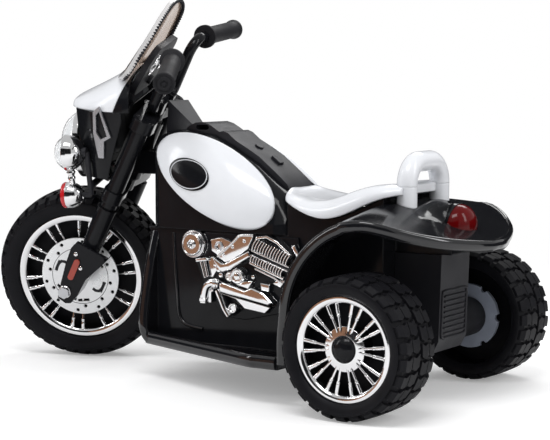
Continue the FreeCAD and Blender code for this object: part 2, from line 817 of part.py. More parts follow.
# Fairing: horizontal and upright sizes are measured in the straight-ahead position
fairing_sizes = {
    "fairing_back": 470,
    "fairing_front": 549,
    "fairing_low": 295,
    "fairing_split": 394,
    "fairing_back_half": 94,
    "fairing_front_half": 52,
    "fairing_mid": 518,
    "fairing_mid_half": 82,
    "cowl_slant": 23,
    "fairing_wall": 3,
    "fairing_clear": 12,
    "fairing_rear_slope": 28,
    "cowl_back": 459,
    "cowl_nose": 558,
    "cowl_rise": 47,
    "cowl_half": 95,
    "screen_base_x": 488,
    "screen_base_z": 431,
    "screen_tilt": 39,
    "screen_bow": 340,
    "screen_height": 138,
    "screen_half": 94,
    "screen_thickness": 2.5,
    "trim_width": 4,
    "trim_height": 2,
    "dash_x": 439,
    "dash_half": 62,
    "dash_depth": 9,
    "dash_height": 84,
    "dash_low": 398,
    "dash_tilt": 36,
    "dash_foot_length": 12,
    "dash_foot_half": 28,
    "dash_foot_height": 22,
    "gauge_radius": 18,
    "gauge_spacing": 25,
    "horn_radius": 7,
    "horn_height": 5,
    "horn_travel": 2,
    "horn_depth": 6,
    "vent_length": 30,
    "vent_height": 76,
    "vent_x": 18,
    "vent_low": 326,
    "vent_thickness": 3,
    "headlight_x": 562,
    "headlight_z": 331,
    "headlight_radius": 47,
    "headlight_bezel": 5,
    "headlight_bucket": 30,
    "headlight_bucket_radius": 33,
    "headlight_dome": 28,
    "headlight_rim": 8,
    "lens_wall": 2.5,
    "lamp_tip": 0.8,
    "side_lamp_x": 562,
    "side_lamp_y": 80,
    "side_lamp_z": 334,
    "side_lamp_radius": 26,
    "side_lamp_depth": 26,
    "side_lamp_dome": 15,
    "side_lamp_wall": 2,
    "side_lamp_rim": 3,
    "marker_x": 566,
    "marker_y": 80,
    "marker_z": 271,
    "marker_radius": 19,
    "marker_depth": 24,
    "marker_dome": 6,
    "lamp_stalk_radius": 4,
    "lamp_bar_radius": 5,
    "lamp_boss_radius": 7,
    "lamp_post": 7,
    "bracket_arm_length": 13,
    "bracket_arm_half": 20,
    "bracket_arm_inset": 3,
}
table(fairing_sizes)


def straight_put(x, y, z, rotation):
    return put(v(x, y, z), rotation)


# Dash with two gauge wells and a horn button
dash = new_body("dash")
dash_half_height = k.dash_height / 2
dash_pts = [(-k.dash_half, 0, -k.dash_half * 0.9, -dash_half_height * 0.65),
            (-k.dash_half * 0.7, dash_half_height, -k.dash_half * 0.97, dash_half_height * 0.7),
            (k.dash_half * 0.7, dash_half_height), (k.dash_half, 0, k.dash_half * 0.97, dash_half_height * 0.7),
            (k.dash_half * 0.55, -dash_half_height, k.dash_half * 0.9, -dash_half_height * 0.65),
            (-k.dash_half * 0.55, -dash_half_height)]
pad(dash, outline(dash, "YZ_Plane", dash_pts, "dash_face"), k.dash_depth)
wells = rounds(dash, "YZ_Plane", [(k.gauge_spacing, k.gauge_radius / 2, k.gauge_radius),
                                  (-k.gauge_spacing, k.gauge_radius / 2, k.gauge_radius)], "dash_wells", -k.seat_gap)
pocket(dash, wells, k.dash_depth / 2, back=True)
horn_z = -dash_half_height / 2
horn_hole = rounds(dash, "YZ_Plane", [(0, horn_z, k.horn_radius + k.run_gap)], "dash_horn", -k.seat_gap)
pocket(dash, horn_hole, k.horn_depth, back=True)
dash_put = straight_put(k.dash_x, 0, k.dash_low + dash_half_height, turn(across, -k.dash_tilt.value))
dash.Placement = dash_put
dash_foot = block("dash_foot", (k.dash_foot_length, k.dash_foot_half * 2, k.dash_foot_height),
                  (k.fairing_back, -k.dash_foot_half, k.fairing_split + k.seat_gap))
keep("dash", joined("dash_set", [dash, dash_foot]), steered)
horn = rod("horn_stub", k.horn_radius, k.horn_height + k.horn_depth - k.horn_travel - k.run_gap,
           dash_put.multiply(put(v(-k.horn_height, 0, horn_z), turn(across, 90))))
keep("horn_button", horn, steered)

# White nose cowl: smooth loft of arched sections from the screen to the nose
cowl_stations = [(0.0, 1.0, 1.0), (0.3, 0.95, 0.79), (0.6, 0.8, 0.5), (0.85, 0.6, 0.28), (1.0, 0.4, 0.14)]


def arch_wire(x, half, low, high):
    # closed arched section across the object: flat base, curved roof
    top = low + high
    shoulder = low + high * 0.55
    roof = Part.BSplineCurve()
    roof.interpolate([v(x, -half, low), v(x, -half * 0.9, shoulder), v(x, -half * 0.5, top - high * 0.08),
                      v(x, 0, top), v(x, half * 0.5, top - high * 0.08), v(x, half * 0.9, shoulder),
                      v(x, half, low)])
    base = Part.LineSegment(v(x, half, low), v(x, -half, low))
    return Part.Wire([roof.toShape(), base.toShape()])


def cowl_form(inset, drop):
    span = float(k.cowl_nose) - float(k.cowl_back)
    wires = []
    last = len(cowl_stations) - 1
    for i, (along, wide, tall) in enumerate(cowl_stations):
        x = float(k.cowl_back) + span * along
        if i == 0:
            x = x - drop
        if i == last:
            x = x - inset
        half = float(k.cowl_half) * wide - inset
        low = float(k.fairing_split) + float(k.seat_gap) - drop
        high = float(k.cowl_rise) * tall + float(k.fairing_wall) - inset + drop
        wires.append(arch_wire(x, half, low, high))
    return Part.makeLoft(wires, True, False)


def rear_wedge(gap):
    # everything behind the slanted seam between the white cowl and the dark cheeks
    rise = float(k.cowl_rise)
    back = float(k.cowl_back) + gap
    slant = float(k.cowl_slant)
    low = float(k.fairing_split)
    reach = float(k.cowl_half) * 2
    corners = [v(back - rise * 2, -reach, low - rise), v(back + slant * 2, -reach, low - rise),
               v(back - slant, -reach, low + rise * 2), v(back - rise * 2, -reach, low + rise * 2)]
    face = Part.Face(Part.makePolygon(corners + corners[:1]))
    return face.extrude(v(0, reach * 2, 0))


cowl_fill = cowl_form(0, 0)
cowl_room = cowl_form(float(k.fairing_wall), float(k.cut_overrun))
cowl_white = cowl_fill.cut(cowl_room).cut(rear_wedge(float(k.seat_gap)))
keep("fairing_cowl", shell("cowl_shell", cowl_white.Solids[0]), steered)
cheek_form = cowl_form(0, float(k.fairing_wall) / 2).cut(cowl_room).common(rear_wedge(0))

# Lower fairing: wedge-shaped in plan, open at the back, with the dark cheeks on top
fairing = new_body("fairing_lower")
wall_in = k.fairing_wall
plan = [(k.fairing_back, -k.fairing_back_half), (k.fairing_mid, -k.fairing_mid_half),
        (k.fairing_front, -k.fairing_front_half),
        (k.fairing_front, k.fairing_front_half, k.fairing_front + wall_in, 0),
        (k.fairing_mid, k.fairing_mid_half), (k.fairing_back, k.fairing_back_half)]
fairing_height = k.fairing_split - k.fairing_low
pad(fairing, outline(fairing, "XY_Plane", plan, "fairing_plan", k.fairing_low), fairing_height)
inner_plan = [(k.fairing_back - k.cut_overrun, -k.fairing_back_half + wall_in),
              (k.fairing_back, -k.fairing_back_half + wall_in), (k.fairing_mid, -k.fairing_mid_half + wall_in),
              (k.fairing_front - wall_in, -k.fairing_front_half + wall_in),
              (k.fairing_front - wall_in, k.fairing_front_half - wall_in),
              (k.fairing_mid, k.fairing_mid_half - wall_in), (k.fairing_back, k.fairing_back_half - wall_in),
              (k.fairing_back - k.cut_overrun, k.fairing_back_half - wall_in)]
pocket(fairing, outline(fairing, "XY_Plane", inner_plan, "fairing_hollow", k.fairing_split - wall_in),
       fairing_height - wall_in * 2)
rear_cut = [(k.fairing_back - k.cut_overrun, k.fairing_low - k.cut_overrun),
            (k.fairing_back + k.fairing_rear_slope + k.cut_overrun, k.fairing_low - k.cut_overrun),
            (k.fairing_back + k.fairing_rear_slope, k.fairing_low + wall_in * 4),
            (k.fairing_back, k.fairing_split - wall_in * 4), (k.fairing_back - k.cut_overrun, k.fairing_split)]
pocket(fairing, outline(fairing, "XZ_Plane", rear_cut, "fairing_rear"), k.fairing_back_half * 3, middle=True)
lamp_hole = rounds(fairing, "YZ_Plane", [(0, k.headlight_z, k.headlight_bucket_radius + k.seat_gap)], "fairing_eye",
                   k.fairing_front - wall_in * 2)
pocket(fairing, lamp_hole, wall_in * 6, back=True)
cheeks = shell("fairing_cheeks", cheek_form)
head_room = rod("head_room", k.bush_flange + k.fairing_clear, k.head_top - k.head_bottom + k.cut_overrun * 2,
                fork_frame.multiply(put(v(0, 0, k.head_bottom - k.cut_overrun), turn())))
keep("fairing_shell", cut_from("fairing_notched", joined("fairing_set", [fairing, cheeks]), head_room), steered)

# Grey vent bezel on each side of the fairing
bezel = new_body("vent_bezel")
bezel_shares = [(0.5, 1.0), (0.87, 0.9), (0.97, 0.48), (0.83, 0.01), (0.53, 0.0), (0.43, 0.33), (0.03, 0.41)]
bezel_hole_shares = [(0.52, 0.91), (0.73, 0.83), (0.8, 0.5), (0.6, 0.37), (0.23, 0.43)]
bezel_pts = spread(bezel_shares, k.vent_length, k.vent_height, k.vent_x, k.vent_low)
pad(bezel, outline(bezel, "XZ_Plane", bezel_pts, "bezel_side"), k.vent_thickness, back=True)
hole_pts = spread(bezel_hole_shares, k.vent_length, k.vent_height, k.vent_x, k.vent_low)
pocket(bezel, outline(bezel, "XZ_Plane", hole_pts, "bezel_hole", k.cut_overrun), k.vent_thickness + k.cut_overrun * 2,
       back=False)
cheek_turn = math.degrees(math.atan2(float(k.fairing_back_half) - float(k.fairing_mid_half),
                                     float(k.fairing_mid) - float(k.fairing_back)))
bezel.Placement = straight_put(k.fairing_back, k.fairing_back_half + k.seat_gap, 0, turn(upward, -cheek_turn))
bezel_trimmed = cut_from("bezel_trimmed", bezel, shell("cowl_tool", cowl_fill))
keep("vent_bezels", both_sides("bezel_pair", bezel_trimmed), steered)

# Tinted screen cut from a bowed sheet, with its edge trim
screen_shares = [(0.0, 0.0), (0.53, 0.06), (0.9, 0.17), (1.0, 0.25), (0.965, 0.41), (0.9, 0.56), (0.79, 0.76), (0.62, 0.88),
                 (0.4, 0.955), (0.18, 0.99)]


def screen_face(inset):
    wide = float(k.screen_half)
    tall = float(k.screen_height)
    side = []
    for across_share, up_share in screen_shares:
        y = wide * across_share
        z = tall * up_share
        mid = v(0, 0, tall * 0.5)
        away = v(0, y, z) - mid
        near = mid + away * (1 - inset / max(away.Length, inset * 2))
        side.append(near)
    ring = side + [v(0, -p.y, p.z) for p in reversed(side) if p.y > 0]
    curve = Part.BSplineCurve()
    curve.interpolate(ring[1:], PeriodicFlag=True)
    return Part.Face(Part.Wire([curve.toShape()]))


def bowed_sheet(front, back):
    radius = float(k.screen_bow)
    tall = float(k.screen_height) * 2
    low = v(-radius, 0, -float(k.screen_height) / 2)
    return Part.makeCylinder(radius + front, tall, low).cut(Part.makeCylinder(radius - back, tall, low))


def through(face):
    deep = float(k.screen_half)
    solid = face.extrude(v(deep * 2, 0, 0))
    solid.translate(v(-deep, 0, 0))
    return solid


thick = float(k.screen_thickness)
pane = through(screen_face(float(k.trim_width) + float(k.seat_gap))).common(bowed_sheet(0, thick))
rim_form = through(screen_face(0)).cut(through(screen_face(float(k.trim_width))))
edge_trim = rim_form.common(bowed_sheet(float(k.trim_height), thick + float(k.trim_height)))
screen_put = straight_put(k.screen_base_x, 0, k.screen_base_z, turn(across, -k.screen_tilt.value))
for label, form in (("windshield", pane), ("windshield_trim", edge_trim)):
    form.Placement = screen_put
    form = form.cut(cowl_fill).cut(rear_wedge(0).common(cowl_fill))
    keep(label, shell(label + "_form", form), steered)


# Lamps: turned shells facing forward, axis along +X
def lamp(name, points):
    part = new_body(name)
    revolve(part, outline(part, "XZ_Plane", points, name + "_section"))
    return part


facing_front = turn(across, 90)
rim = k.headlight_radius + k.headlight_bezel
wall = k.lens_wall
bucket_back = -k.headlight_bucket
bucket = lamp("headlight", [(0, bucket_back), (k.headlight_bucket_radius, bucket_back),
                            (k.headlight_bucket_radius, -k.headlight_rim), (rim, -k.headlight_rim), (rim, 0),
                            (k.headlight_radius - wall, 0), (k.headlight_bucket_radius - wall, -k.headlight_rim),
                            (k.lamp_tip, bucket_back + wall, k.headlight_bucket_radius * 0.62, bucket_back * 0.7),
                            (0, bucket_back + wall)])
bucket.Placement = straight_put(k.headlight_x, 0, k.headlight_z, facing_front)
keep("headlight", bucket, steered)
dome_in = k.headlight_dome - wall
dome = lamp("headlight_lens", [(0, dome_in), (k.lamp_tip, dome_in),
                               (k.headlight_radius - wall, 0, (k.headlight_radius - wall) * 0.72, dome_in * 0.7),
                               (k.headlight_radius, 0),
                               (k.lamp_tip, k.headlight_dome, k.headlight_radius * 0.72, k.headlight_dome * 0.7),
                               (0, k.headlight_dome)])
dome.Placement = straight_put(k.headlight_x + k.seat_gap, 0, k.headlight_z, facing_front)
keep("headlight_lens", dome, steered)


def bullet(name, radius, depth):
    side = k.side_lamp_wall
    return lamp(name, [(0, -depth), (radius * 0.35, -depth), (radius, -k.side_lamp_rim, radius * 0.85, -depth * 0.6),
                       (radius, 0), (radius - side, 0), (radius - side, -k.side_lamp_rim),
                       (k.lamp_tip, -depth + side, radius * 0.72, -depth * 0.55), (0, -depth + side)])


def lens(name, radius, dome_height):
    inner = radius - k.side_lamp_wall
    thin = k.side_lamp_wall * 0.75
    return lamp(name, [(0, dome_height - thin), (k.lamp_tip, dome_height - thin),
                       (inner - thin, 0, inner * 0.62, (dome_height - thin) * 0.72), (inner - k.seat_gap, 0),
                       (k.lamp_tip, dome_height, inner * 0.74, dome_height * 0.68), (0, dome_height)])


side_put = straight_put(k.side_lamp_x, k.side_lamp_y, k.side_lamp_z, facing_front)
marker_put = straight_put(k.marker_x, k.marker_y, k.marker_z, facing_front)
side_bowl = bullet("side_lamp", k.side_lamp_radius, k.side_lamp_depth)
side_bowl.Placement = side_put
marker_bowl = bullet("marker_lamp", k.marker_radius, k.marker_depth)
marker_bowl.Placement = marker_put
side_dome = lens("side_lens", k.side_lamp_radius, k.side_lamp_dome)
side_dome.Placement = side_put
marker_dome = lens("marker_lens", k.marker_radius, k.marker_dome)
marker_dome.Placement = marker_put
keep("side_lamps", both_sides("side_lamp_pair", side_bowl), steered)
keep("side_lenses", both_sides("side_lens_pair", side_dome), steered)
keep("marker_lamps", both_sides("marker_lamp_pair", marker_bowl), steered)
keep("marker_lenses", both_sides("marker_lens_pair", marker_dome), steered)

# Lamp bracket: bar in front of the lower clamp that carries the fairing and the outer lamps
lamp_back = k.side_lamp_x - k.side_lamp_depth
bar_x = lamp_back - k.lamp_bar_radius
bar_z = k.fairing_low - k.lamp_post - k.lamp_bar_radius
bracket_parts = [rod("lamp_bar", k.lamp_bar_radius, k.side_lamp_y * 2, put(v(bar_x, k.side_lamp_y, bar_z), turn(ahead, 90)))]
for label, sign in (("left", 1), ("right", -1)):
    arm_y = k.side_lamp_y * sign
    post_y = k.side_lamp_y * 0.4 * sign
    bracket_parts.append(rod("lamp_upright_" + label, k.lamp_stalk_radius, k.side_lamp_z - k.marker_z,
                             put(v(bar_x, arm_y, k.marker_z), turn())))
    bracket_parts.append(rod("side_boss_" + label, k.lamp_boss_radius, k.lamp_bar_radius - k.seat_gap,
                             put(v(bar_x, arm_y, k.side_lamp_z), facing_front)))
    bracket_parts.append(rod("marker_boss_" + label, k.lamp_stalk_radius, k.marker_x - k.marker_depth - bar_x - k.seat_gap,
                             put(v(bar_x, arm_y, k.marker_z), facing_front)))
    bracket_parts.append(rod("fairing_post_" + label, k.lamp_stalk_radius, k.lamp_post + k.lamp_bar_radius - k.seat_gap,
                             put(v(bar_x, post_y, bar_z), turn())))
arm = doc.addObject("Part::Box", "bracket_arm")
arm.setExpression("Length", k.bracket_arm_length.text)
arm.setExpression("Width", (k.bracket_arm_half * 2).text)
arm.setExpression("Height", (k.clamp_thickness - k.bracket_arm_inset * 2).text)
arm.Placement = fork_frame.multiply(put(v(k.stem_radius + k.clamp_half_depth / 2 + k.seat_gap, -k.bracket_arm_half, lower_low + k.bracket_arm_inset), turn()))
keep("lamp_bracket", joined("lamp_bracket_set", bracket_parts + [arm]), steered)

# Body: everything from here on is fixed to the frame of the rear axle
body_sizes = {
    "body_half": 72,
    "body_wall": 4,
    "body_front": 395,
    "body_chin": 9,
    "body_rear": 20,
    "body_top": 212,
    "post_front": 168,
    "post_hollow": 230,
    "floor_low": 48,
    "floor_thickness": 5,
    "floor_rim": 12,
    "floor_rim_width": 6,
    "floor_front_half": 92,
    "floor_rear_half": 172,
    "floor_rear": 119,
    "rib_length": 44,
    "rib_width": 4,
    "rib_height": 2,
    "rib_pitch": 14,
    "shield_thickness": 7,
    "shield_half": 98,
    "shield_top": 204,
    "neck_half": 26,
    "neck_low": 284,
    "neck_top": 316,
    "neck_front": 492,
    "neck_step": 14,
    "head_radius": 22,
    "cover_thickness": 4,
    "cover_lip": 3,
}
table(body_sizes)
rib_count = 7
floor_top = k.floor_low + k.floor_thickness

# Seat: moulded saddle lofted from front tip to rear edge, hollow underneath
seat_sizes = {
    "seat_rear": -2,
    "seat_length": 188,
    "seat_half": 84,
    "seat_base": 239,
    "seat_height": 52,
    "seat_wall": 4,
    "hoop_radius": 13.5,
    "hoop_half": 45,
    "hoop_top": 328,
    "hoop_bend": 30,
    "hoop_foot": 283,
    "hoop_base": 240,
}
table(seat_sizes)
seat_stations = [(0.0, 0.78, 0.66, 0.87), (0.1, 0.9, 0.58, 0.89), (0.22, 0.97, 0.42, 0.84), (0.4, 1.0, 0.13, 0.66),
                 (0.56, 1.0, 0.0, 0.46), (0.74, 0.95, 0.1, 0.4), (0.9, 0.83, 0.3, 0.5), (1.0, 0.5, 0.5, 0.67)]
seat_line = [(k.seat_rear + k.seat_length * s[0], k.seat_base + k.seat_height * s[2]) for s in seat_stations]

# Centre column: hollow box under the tank and the post under the seat
column = new_body("body_column")
side_pts = [(k.body_rear, k.floor_low), (k.body_front, k.floor_low), (k.body_front, k.body_top - k.body_chin),
            (k.body_front + k.body_chin, k.body_top), (k.post_front, k.body_top), (k.post_front, seat_line[6][1]),
            seat_line[5], seat_line[4], seat_line[3], seat_line[2], (k.body_rear, seat_line[1][1])]
pad(column, outline(column, "XZ_Plane", side_pts, "column_side"), k.body_half * 2, middle=True)
hollow_pts = [(k.body_rear + k.body_wall, k.floor_low - k.cut_overrun),
              (k.body_front - k.body_wall, k.floor_low - k.cut_overrun),
              (k.body_front - k.body_wall, k.body_top - k.body_wall),
              (k.post_front - k.body_wall, k.body_top - k.body_wall),
              (k.post_front - k.body_wall, k.post_hollow), (k.body_rear + k.body_wall, k.post_hollow)]
pocket(column, outline(column, "XZ_Plane", hollow_pts, "column_hollow"), (k.body_half - k.body_wall) * 2, middle=True)

# Footboard: floor tray with a raised rim and slanted ribs
board = new_body("footboard")
inner_y = k.body_half - k.body_wall
board_pts = [(k.floor_rear, inner_y), (k.floor_rear, k.floor_rear_half), (k.floor_rear + k.floor_rim * 4, k.floor_rear_half),
             (k.body_front, k.floor_front_half), (k.body_front, inner_y)]
pad(board, outline(board, "XY_Plane", board_pts, "board_plan", k.floor_low), k.floor_rim + k.floor_thickness)
rim_w = k.floor_rim_width
tray_pts = [(k.floor_rear + rim_w, k.body_half), (k.floor_rear + rim_w, k.floor_rear_half - rim_w),
            (k.floor_rear + k.floor_rim * 4, k.floor_rear_half - rim_w),
            (k.body_front - k.shield_thickness, k.floor_front_half - rim_w),
            (k.body_front - k.shield_thickness, k.body_half)]
pocket(board, outline(board, "XY_Plane", tray_pts, "board_tray", floor_top + k.floor_rim), k.floor_rim)
rib_x = k.floor_rear + k.rib_length
rib_y = k.body_half + k.rib_pitch
rib_pts = [(rib_x, rib_y), (rib_x + k.rib_width, rib_y), (rib_x + k.rib_width + k.rib_pitch, rib_y + k.rib_length),
           (rib_x + k.rib_pitch, rib_y + k.rib_length)]
rib_sketch = outline(board, "XY_Plane", rib_pts, "board_rib", floor_top)
rib = pad(board, rib_sketch, k.rib_height)
row_pattern(board, rib, (rib_sketch, ["H_Axis"]), k.rib_pitch * (rib_count - 1), rib_count)

# Leg shield: flared panel behind the front wheel
shield = new_body("leg_shield")
rise = k.shield_top - k.floor_low
shield_pts = [(inner_y, k.floor_low), (k.floor_front_half, k.floor_low),
              (k.shield_half, k.floor_low + k.floor_rim * 2), (k.shield_half - rim_w * 2, k.floor_low + rise * 0.6),
              (k.body_half, k.shield_top), (inner_y, k.shield_top)]
pad(shield, outline(shield, "YZ_Plane", shield_pts, "shield_face", k.body_front - k.shield_thickness), k.shield_thickness)

# Neck and head that carry the steering stem
neck = new_body("body_neck")
neck_back = k.body_front + k.seat_gap
neck_pts = [(neck_back, k.body_top - k.body_wall), (k.body_front + k.body_chin, k.body_top),
            (k.body_front + k.body_chin + k.body_wall, k.neck_low), (k.neck_front, k.neck_low),
            (k.neck_front - k.neck_step, k.neck_top), (neck_back, k.neck_top)]
pad(neck, outline(neck, "XZ_Plane", neck_pts, "neck_side"), k.neck_half * 2, middle=True)
head_length = k.head_top - k.head_bottom
head = rod("head_barrel", k.head_radius, head_length, fork_frame.multiply(put(v(0, 0, k.head_bottom), turn())))
head_bore = rod("head_bore", k.bush_radius + k.seat_gap, head_length + k.cut_overrun * 2,
                fork_frame.multiply(put(v(0, 0, k.head_bottom - k.cut_overrun), turn())))

def saddle_wire(x, half, low, top):
    tall = top - low
    roof = Part.BSplineCurve()
    roof.interpolate([v(x, -half, low), v(x, -half * 0.985, low + tall * 0.5), v(x, -half * 0.86, low + tall * 0.9),
                      v(x, -half * 0.4, top), v(x, 0, top - tall * 0.03), v(x, half * 0.4, top),
                      v(x, half * 0.86, low + tall * 0.9), v(x, half * 0.985, low + tall * 0.5), v(x, half, low)])
    return Part.Wire([roof.toShape(), Part.LineSegment(v(x, half, low), v(x, -half, low)).toShape()])


def seat_form(inset, drop):
    wires = []
    last = len(seat_stations) - 1
    for i, (along, wide, low, top) in enumerate(seat_stations):
        x = float(k.seat_rear) + float(k.seat_length) * along
        if i == 0:
            x = x + inset
        if i == last:
            x = x - inset
        base = float(k.seat_base)
        tall = float(k.seat_height)
        wires.append(saddle_wire(x, float(k.seat_half) * wide - inset, base + tall * low - drop, base + tall * top - inset))
    return Part.makeLoft(wires, True, False)


seat_outer = seat_form(0, 0)
seat_solid = seat_outer.cut(seat_form(float(k.seat_wall), float(k.seat_wall)))


def hoop_points(low):
    half = float(k.hoop_half)
    top = float(k.hoop_top) - float(k.hoop_radius)
    return [v(0, -half, low), v(0, -half, top), v(0, half, top), v(0, half, low)]


hoop_room = float(k.hoop_radius) + float(k.run_gap)
seat_solid = seat_solid.cut(bent_tube(hoop_points(float(k.hoop_base)), [k.hoop_bend, k.hoop_bend], hoop_room))
keep("seat", shell("seat_form", seat_solid), home)

# Rear deck: tail shell lofted across the object, and a mudguard over the front of each rear wheel
deck_sizes = {
    "deck_front": 20,
    "deck_length": 130,
    "deck_half": 177,
    "deck_low": 214,
    "deck_rise": 50,
    "deck_wall": 4,
    "deck_lip": 13,
    "deck_lip_width": 6,
    "guard_x": -18,
    "guard_z": 119,
    "guard_radius": 130,
    "guard_crown": 14,
    "guard_low": 54,
    "guard_front_wall": 6,
}
table(deck_sizes)
deck_stations = [(0.0, 1.0, 0.6, 1.0), (0.22, 0.985, 0.66, 0.86), (0.42, 0.9, 0.52, 0.62), (0.6, 0.76, 0.34, 0.38),
                 (0.78, 0.55, 0.18, 0.2), (0.92, 0.3, 0.07, 0.08), (1.0, 0.1, 0.02, 0.03)]


def deck_wire(x, half, edge, mid, closed_floor):
    # section across the deck: crowned roof, lip at each edge, hollow below unless the floor is closed
    wall_up = float(k.deck_wall)
    lip = float(k.deck_lip)
    inset = min(float(k.deck_lip_width), half * 0.45)
    roof = Part.Arc(v(x, half, edge), v(x, 0, mid), v(x, -half, edge)).toShape()
    low = edge - lip
    if closed_floor:
        deep = float(k.deck_low) - float(k.deck_rise)
        run = [v(x, -half, edge), v(x, -half, deep), v(x, half, deep), v(x, half, edge)]
        return Part.Wire([roof] + [Part.LineSegment(a, b).toShape() for a, b in zip(run, run[1:])])
    ceiling = Part.Arc(v(x, -half + inset, edge - wall_up), v(x, 0, mid - wall_up), v(x, half - inset, edge - wall_up)).toShape()
    left = [v(x, -half, edge), v(x, -half, low), v(x, -half + inset, low), v(x, -half + inset, edge - wall_up)]
    right = [v(x, half - inset, edge - wall_up), v(x, half - inset, low), v(x, half, low), v(x, half, edge)]
    edges = [roof]
    edges += [Part.LineSegment(a, b).toShape() for a, b in zip(left, left[1:])]
    edges.append(ceiling)
    edges += [Part.LineSegment(a, b).toShape() for a, b in zip(right, right[1:])]
    return Part.Wire(edges)


def tail_form(closed_floor):
    wires = []
    for along, wide, edge, mid in deck_stations:
        x = float(k.deck_front) - float(k.deck_length) * along
        low = float(k.deck_low)
        tall = float(k.deck_rise)
        flat = float(k.seat_gap)
        wires.append(deck_wire(x, float(k.deck_half) * wide, low + tall * edge, low + tall * mid + flat, closed_floor))
    return Part.makeLoft(wires, True, False)


def guard_form(sign):
    # mudguard arch: crowned strip turned about an axis above the wheel, with an outer lip and a front wall
    inner = (float(k.body_half) + float(k.seat_gap)) * sign
    outer = float(k.deck_half) * sign
    rim_r = float(k.guard_radius)
    crown = rim_r + float(k.guard_crown)
    mid = (inner + outer) / 2
    mid_r = rim_r + float(k.guard_crown) * 0.68
    thick_r = float(k.deck_wall)
    lip = float(k.deck_lip)
    wide = float(k.deck_lip_width) * sign
    top = Part.Arc(v(rim_r, outer, 0), v(mid_r, mid, 0), v(crown, inner, 0)).toShape()
    under = Part.Arc(v(crown - thick_r, inner, 0), v(mid_r - thick_r, mid, 0), v(rim_r - thick_r, outer - wide, 0)).toShape()
    run = [v(rim_r - thick_r, outer - wide, 0), v(rim_r - lip, outer - wide, 0), v(rim_r - lip, outer, 0), v(rim_r, outer, 0)]
    edges = [top, Part.LineSegment(v(crown, inner, 0), v(crown - thick_r, inner, 0)).toShape(), under]
    edges += [Part.LineSegment(a, b).toShape() for a, b in zip(run, run[1:])]
    strip = Part.Face(Part.Wire(edges))
    arch = strip.revolve(v(0, 0, 0), across, -85)
    arch.translate(v(float(k.guard_x), 0, float(k.guard_z)))
    reach = float(k.guard_x) + crown
    behind = Part.makeBox(reach, abs(outer) * 2, crown * 2, v(float(k.deck_front) - reach, -abs(outer), 0))
    arch = arch.cut(behind)
    front = float(k.guard_x) + rim_r
    deep = float(k.guard_front_wall)
    tall = float(k.guard_z) - float(k.guard_low)
    low_y = min(inner, outer)
    wall_box = Part.makeBox(deep, abs(outer - inner), tall, v(front - deep, low_y, float(k.guard_low)))
    lip_y = min(outer, outer - wide)
    lip_box = Part.makeBox(lip, abs(wide), tall, v(front - lip, lip_y, float(k.guard_low)))
    return arch.fuse(wall_box).fuse(lip_box)


deck_solid = tail_form(False).fuse(guard_form(1)).fuse(guard_form(-1)).removeSplitter()
deck_fill = tail_form(True)

# Rear handle: hoop on two feet that stand on the deck
hoop_low = float(k.hoop_base)
hoop_form = bent_tube(hoop_points(hoop_low), [k.hoop_bend, k.hoop_bend], k.hoop_radius)
reach = float(k.hoop_top)
below_foot = Part.makeBox(reach, reach, float(k.hoop_foot), v(-reach / 2, -reach / 2, 0))
hoop_feet = hoop_form.common(below_foot).cut(deck_fill)
hoop_upper = hoop_form.cut(below_foot)
keep("handle_hoop", shell("handle_hoop_form", hoop_upper), home)
keep("handle_feet", shell("handle_feet_form", Part.makeCompound(hoop_feet.Solids)), home)

# Tail lamp: half-round hood on the deck with a domed red lens
tail_lamp_sizes = {
    "tail_x": -50,
    "tail_z": 229,
    "tail_radius": 32,
    "tail_length": 28,
    "tail_lens_base": 4,
    "tail_lens_dome": 10,
    "tail_tilt": 8,
}
table(tail_lamp_sizes)
hood_put = put(v(k.tail_x, 0, k.tail_z), turn(across, 90 - k.tail_tilt.value))
hood = Part.makeCylinder(float(k.tail_radius), float(k.tail_length))
nose_zone = Part.makeCylinder(float(k.tail_radius), float(k.tail_radius), v(0, 0, float(k.tail_length)))
nose = Part.makeSphere(float(k.tail_radius), v(0, 0, float(k.tail_length))).common(nose_zone)
hood = hood.fuse(nose)
hood.Placement = hood_put
hood = hood.cut(deck_fill).cut(deck_solid).cut(seat_outer)
hood = hood.cut(hoop_form)
lens_r = float(k.tail_radius) - float(k.deck_wall) / 4
dome_h = float(k.tail_lens_dome)
ball_r = (lens_r * lens_r + dome_h * dome_h) / (dome_h * 2)
lens_base = Part.makeCylinder(lens_r, float(k.tail_lens_base), v(0, 0, -float(k.tail_lens_base)))
lens_cap = Part.makeSphere(ball_r, v(0, 0, ball_r - dome_h - float(k.tail_lens_base)))
cap_zone = Part.makeCylinder(lens_r, dome_h, v(0, 0, -float(k.tail_lens_base) - dome_h))
lens_form = lens_base.fuse(lens_cap.common(cap_zone)).removeSplitter()
lens_form.Placement = hood_put.multiply(put(v(0, 0, -k.seat_gap), turn()))
lens_form = lens_form.cut(deck_fill)
keep("tail_lamp_hood", shell("tail_hood_form", hood.Solids[0]), home)
keep("tail_lamp_lens", shell("tail_lens_form", lens_form.Solids[0]), home)
keep("rear_deck", shell("rear_deck_form", deck_solid), home)

# Tail stay under the deck, and the gear case between the rear wheels
tail_stay_sizes = {
    "case_half": 40,
    "case_rear": -45,
    "case_low": 66,
    "case_top": 196,
    "case_wall": 4,
    "vent_rib_count_pitch": 7,
    "vent_rib_height": 2,
    "stay_half": 38,
    "stay_rear": -62,
}
table(tail_stay_sizes)
vent_ribs = 6
stay = new_body("tail_stay")
stay_pts = [(k.body_rear + k.body_wall, k.case_top), (k.body_rear + k.body_wall, k.deck_low + k.deck_rise - k.deck_wall * 2),
            (0, k.deck_low + k.deck_rise * 0.68), (k.stay_rear * 0.6, k.deck_low + k.deck_rise * 0.34),
            (k.stay_rear, k.deck_low), (k.stay_rear, k.case_top)]
pad(stay, outline(stay, "XZ_Plane", stay_pts, "stay_side"), k.stay_half * 2, middle=True)

